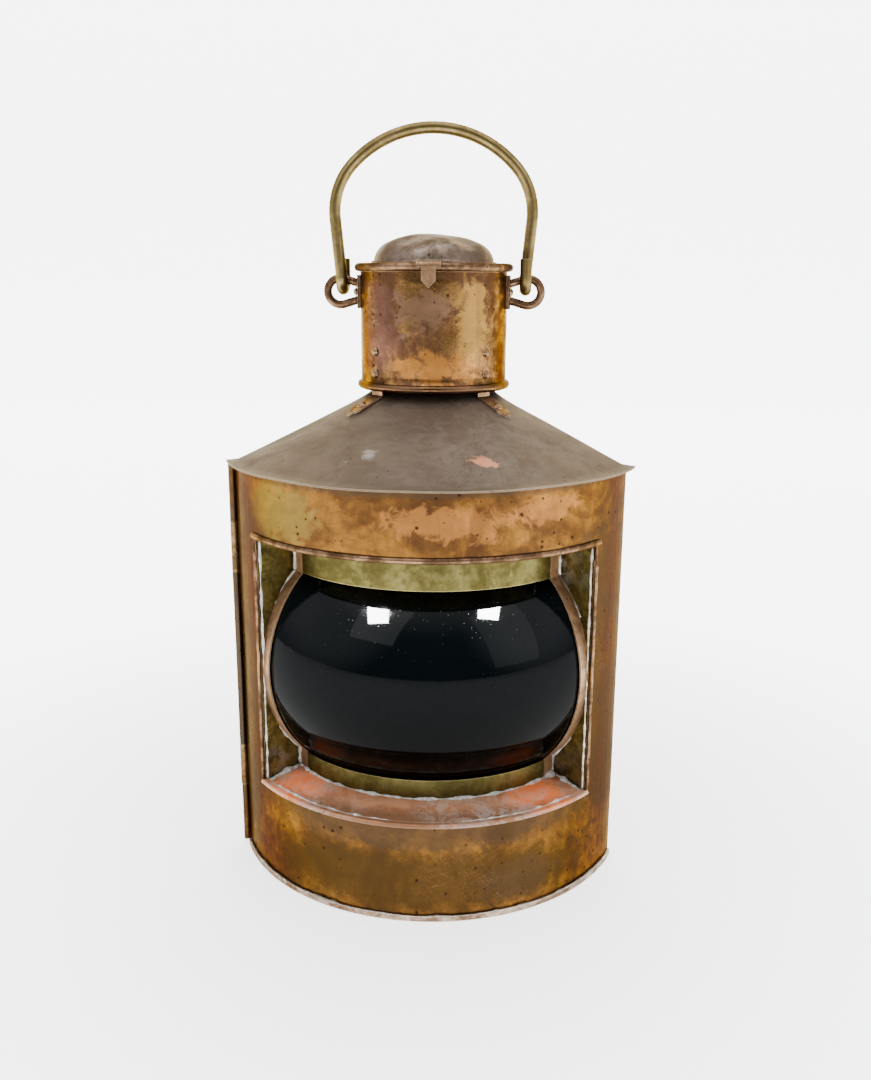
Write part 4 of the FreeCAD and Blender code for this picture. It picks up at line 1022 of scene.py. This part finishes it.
@dataclass
class Chimney:
    """The drum, its straps and rivets, and the bail's eyes.

    Attributes:
        nodes: the lantern's pieces.
        palette: the finishes.
    """

    nodes: Nodes
    palette: Palette

    def build(self) -> None:
        """Dents the drum and dresses the chimney's pieces."""
        knocks = (((0.012, -0.0385, 0.285), 0.02, 0.0005), ((-0.024, -0.03, 0.268), 0.016, 0.0005))
        drum = Dents(0.00035, 30.0, 0.006, knocks=knocks).dented(self.nodes["drum"], "case")
        self.palette.dress(self.drum_finish(), drum)
        straps = [self.nodes[f"{end}_{side}_strap"]
                  for end in ("front", "rear") for side in ("right", "left")]
        self.palette.dress(Stock.STRAP, *straps, *pick(self.nodes, "strap_roof_rivets", "strap_drum_rivets"))
        self.palette.dress(Stock.BROWN, *pick(self.nodes, "eye_rivets", "right_eye", "left_eye",
                                              "right_eye_plate", "left_eye_plate"))

    def drum_finish(self) -> Metal:
        """The drum's heat-stained copper: purple-brown on the left, golden on the right.

        Returns:
            The finish.
        """
        low, high = (corner.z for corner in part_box("drum"))
        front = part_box("drum")[0].y
        purple, gold, rim = (0.085, 0.04, 0.03), (0.34, 0.185, 0.045), (0.1, 0.055, 0.03)
        orange, dark, tan = (0.36, 0.145, 0.028), (0.05, 0.025, 0.013), (0.19, 0.11, 0.065)
        middle = (low + high) / 2
        patches = (Patch((-0.029, front * 0.6, middle + 0.004), (0.019, 0.03, 0.026), purple, 0.88, 0.5),
                   Patch((-0.004, front, middle + 0.012), (0.018, 0.02, 0.012), tan, 0.5, 0.8),
                   Patch((0.021, front * 0.8, middle + 0.006), (0.01, 0.02, 0.022), gold, 0.7, 0.85),
                   Patch((0.004, front, low + 0.012), (0.022, 0.02, 0.009), orange, 0.65, 0.95),
                   Patch((0.033, front * 0.4, low + 0.02), (0.01, 0.02, 0.014), dark, 0.6, 0.5),
                   Patch((0.0, front, high - 0.002), (0.1, 0.1, 0.004), dark, 0.55, 0.4),
                   Patch((0.0, 0.0, low + 0.002), (0.2, 0.2, 0.0026), rim, 0.8, 0.2))
        return Metal("heat-stained drum copper",
                     ((0.06, 0.029, 0.015), (0.15, 0.072, 0.027), (0.28, 0.15, 0.045)),
                     worn=(0.55, 0.32, 0.17), scale=42.0, contrast=0.26, rough=(0.22, 0.4), spots=0.22,
                     runs=0.2, scratches=0.5, patches=patches)


@dataclass
class Lid:
    """The hinged lid with its knocked-about dome, its catch and its hinge.

    Attributes:
        nodes: the lantern's pieces.
        palette: the finishes.
    """

    nodes: Nodes
    palette: Palette

    def build(self) -> None:
        """Dents the dome and dresses the lid's pieces."""
        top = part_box("lid_dome")[1].z
        knocks = (((-0.013, -0.022, top - 0.003), 0.014, 0.0019),
                  ((0.017, -0.017, top - 0.003), 0.012, 0.0016),
                  ((0.004, -0.004, top), 0.015, 0.0009), ((0.024, 0.006, top - 0.005), 0.011, 0.0013))
        dents = Dents(0.0008, 45.0, 0.0025, radial=False, knocks=knocks)
        dome = dents.dented(self.nodes["lid_dome"], "lid")
        self.palette.dress(self.dome_finish(), dome)
        self.palette.dress(Stock.BROWN, self.nodes["lid_flange"])
        self.palette.dress(Stock.STRAP, self.nodes["lid_catch"])
        hinge = pick(self.nodes, "lid_hinge_leaf", "drum_hinge_leaf", "lid_hinge_pin", "lid_hinge_rivets")
        self.palette.dress(Stock.LEAF, *hinge)

    def dome_finish(self) -> Metal:
        """The dome's dull copper with pale rubs.

        Returns:
            The finish.
        """
        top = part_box("lid_dome")[1].z
        patches = (Patch((-0.008, -0.018, top - 0.003), (0.009, 0.006, 0.006), (0.4, 0.32, 0.26), 0.4, 0.8),
                   Patch((0.016, -0.02, top - 0.006), (0.006, 0.006, 0.006), (0.42, 0.27, 0.18), 0.4, 0.8))
        return Metal("weathered dome copper",
                     ((0.085, 0.058, 0.041), (0.125, 0.088, 0.065), (0.17, 0.125, 0.096)),
                     worn=(0.4, 0.3, 0.23), scale=52.0, rough=(0.36, 0.54), spots=0.2, runs=0.1, dust=0.2,
                     metallic=0.85, bump=0.00025, patches=patches)


@dataclass
class Hardware:
    """The bail, the door and the oil lamp.

    Attributes:
        nodes: the lantern's pieces.
        palette: the finishes.
    """

    nodes: Nodes
    palette: Palette

    def build(self) -> None:
        """Dresses the bail, the door and the oil lamp."""
        self.palette.dress(Stock.BAIL, self.nodes["bail"])
        self.palette.dress(Stock.SHELL, self.nodes["door_panel"])
        fittings = pick(self.nodes, "door_hinge_leaves", "door_hinge_pin", "door_catch", "door_pull")
        self.palette.dress(Stock.LEAF, *fittings)
        lamp = pick(self.nodes, "fount", "fount_guides", "burner", "wick_tube", "winder")
        self.palette.dress(Stock.LAMP, *lamp)
        self.palette.dress(Stock.COTTON, self.nodes["wick"])


# ---- studio ------------------------------------------------------------------------------------------
@dataclass
class Studio:
    """A pale seamless floor, soft lights and the camera.

    Attributes:
        lens_piece: the lantern's lens, which alone mirrors the two small light boxes.
        eye: where the camera is.
        yaw: how far it looks to the left of +Y, in radians.
        pitch: how far it looks down, in radians.
        roll: how far it leans, in radians.
        lens: its focal length in millimetres on a 36 mm long side.
        reach: how far the floor runs back and forward.
        paper_edge: how far forward its glow starts to fade.
        fade: length of the fade.
    """

    lens_piece: bpy.types.Object
    eye: tuple[float, float, float] = (0.0363, -0.5602, 0.3093)
    yaw: float = 0.062
    pitch: float = 0.247
    roll: float = 0.005
    lens: float = 34.7
    reach: float = 3.0
    paper_edge: float = 0.24
    fade: float = 1.6

    def build(self) -> None:
        """Sets up the studio."""
        self.camera()
        paper = self.floor()
        self.world()
        self.soft_light("key", (-0.9, -1.3, 1.5), (0.0, -0.05, 0.16), (1.0, 1.2), 9.0)
        self.soft_light("fill", (1.2, -0.9, 0.9), (0.0, 0.0, 0.16), (0.9, 1.4), 5.0)
        self.soft_light("top", (0.0, 0.1, 1.7), (0.0, 0.0, 0.2), (1.6, 1.6), 16.0)
        lens = bpy.data.collections.new("lens only")
        lens.objects.link(self.lens_piece)
        for name, place, up, size in (
                ("left box", (-0.591, -0.681, 1.161), (0.045, 0.368, 0.242), (0.27, 0.5)),
                ("right box", (0.687, -0.545, 1.179), (-0.066, 0.322, 0.188), (0.27, 0.42))):
            box = self.soft_light(name, place, (0.006, -0.0856, 0.155), size, 520.0, up)
            box.light_linking.receiver_collection = lens
        others = bpy.data.collections.new("all but the lens")
        others.objects.link(self.lens_piece)
        others.collection_objects[0].light_linking.link_state = "EXCLUDE"
        paper.light_linking.receiver_collection = others

    def camera(self) -> None:
        """Places the camera."""
        data = bpy.data.cameras.new("camera")
        data.lens, data.sensor_width, data.sensor_fit = self.lens, 36.0, "AUTO"
        data.clip_start = 0.01
        camera = bpy.data.objects.new("camera", data)
        bpy.context.scene.collection.objects.link(camera)
        turn = (Matrix.Rotation(self.yaw, 4, "Z") @ Matrix.Rotation(math.pi / 2 - self.pitch, 4, "X")
                @ Matrix.Rotation(self.roll, 4, "Z"))
        camera.matrix_world = Matrix.Translation(self.eye) @ turn
        bpy.context.scene.camera = camera

    def floor(self) -> bpy.types.Object:
        """Lays the floor, curved up far behind, with painted shade round the lantern.

        Returns:
            The floor.
        """
        mesh = bpy.data.meshes.new("floor")
        bend, rise = 1.4, 2.6
        line = [(-self.reach, 0.0), (self.reach - bend, 0.0)]
        line += [(self.reach - bend + bend * math.sin(a), bend - bend * math.cos(a))
                 for a in (math.pi / 2 * n / 16 for n in range(1, 17))]
        line.append((self.reach, rise))
        verts = [(x, y, z) for y, z in line for x in (-2 * self.reach, 2 * self.reach)]
        faces = [(2 * n, 2 * n + 1, 2 * n + 3, 2 * n + 2) for n in range(len(line) - 1)]
        mesh.from_pydata(verts, [], faces)
        mesh.shade_smooth()
        floor = bpy.data.objects.new("floor", mesh)
        bpy.context.scene.collection.objects.link(floor)
        paint = bpy.data.materials.new("white paper")
        paint.use_nodes = True
        g = Graph(paint.node_tree)
        where = g.node("ShaderNodeTexCoord").outputs["Object"]
        depth = g.node("ShaderNodeSeparateXYZ", {0: where}).outputs[1]
        lit = g.span(depth, -self.paper_edge - self.fade, -self.paper_edge, 0.35, 1.0)
        far = g.vector("LENGTH", where, ORIGIN).outputs["Value"]
        # Painted shade: the glow is dimmed within half a metre of the lantern, darkening the floor round its
        # foot.
        glow = g.math("MULTIPLY", lit, g.span(far, 0.1, 0.5, 1.9, 4.2))
        shader = paint.node_tree.nodes["Principled BSDF"]
        for name, value in (("Base Color", (0.9, 0.9, 0.895)), ("Roughness", 0.75),
                            ("Emission Color", (1.0, 1.0, 0.995)), ("Emission Strength", glow)):
            g.feed(shader.inputs[name], value)
        mesh.materials.append(paint)
        return floor

    def world(self) -> None:
        """Lights the room: bright above, behind and to both sides, dark in front."""
        world = bpy.data.worlds.new("room")
        bpy.context.scene.world = world
        world.use_nodes = True
        g = Graph(world.node_tree)
        way = g.node("ShaderNodeTexCoord").outputs["Generated"]
        depth = g.node("ShaderNodeSeparateXYZ", {0: way}).outputs[1]
        strength = g.span(depth, -0.5, 0.5, 0.14, 0.7)
        for direction, start, power in (((-0.8, -0.33, 0.5), 0.72, 1.6), ((0.82, -0.3, 0.48), 0.74, 2.0),
                                        ((0.0, -0.1, 0.99), 0.6, 2.4)):
            facing = g.vector("DOT_PRODUCT", way, direction).outputs["Value"]
            strength = g.math("ADD", strength, g.span(facing, start, 1.0, 0.0, power))
        g.feed(world.node_tree.nodes["Background"].inputs["Color"], (0.97, 0.98, 1.0))
        g.feed(world.node_tree.nodes["Background"].inputs["Strength"], strength)

    @staticmethod
    def soft_light(name: str, place: Sequence[float], target: Sequence[float], size: tuple[float, float],
                   power: float, up: Sequence[float] = (0.0, 0.0, 1.0)) -> bpy.types.Object:
        """Adds a rectangular soft light.

        Args:
            name: the light's name.
            place: where it is.
            target: what it points at.
            size: its width and height.
            power: its power in watts.
            up: the way its upper edge is turned.

        Returns:
            The light.
        """
        data = bpy.data.lights.new(name, "AREA")
        data.shape, data.size, data.size_y, data.energy = "RECTANGLE", size[0], size[1], power
        light = bpy.data.objects.new(name, data)
        bpy.context.scene.collection.objects.link(light)
        back = (Vector(place) - Vector(target)).normalized()
        across = Vector(up).cross(back).normalized()
        turn = Matrix((across, back.cross(across), back)).transposed()
        light.matrix_world = Matrix.Translation(place) @ turn.to_4x4()
        return light


def main() -> None:
    """Builds the lantern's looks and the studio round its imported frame."""
    logging.basicConfig(level=logging.INFO, format="%(message)s")
    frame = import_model()
    nodes, palette = frame["nodes"], Palette(Effects())
    Studio(nodes["lens"]).build()
    for assembly in (Housing, Window, Chimney, Lid, Hardware):
        assembly(nodes, palette).build()
        LOG.info("%s is built", assembly.__name__)


if __name__ == "__main__":
    main()
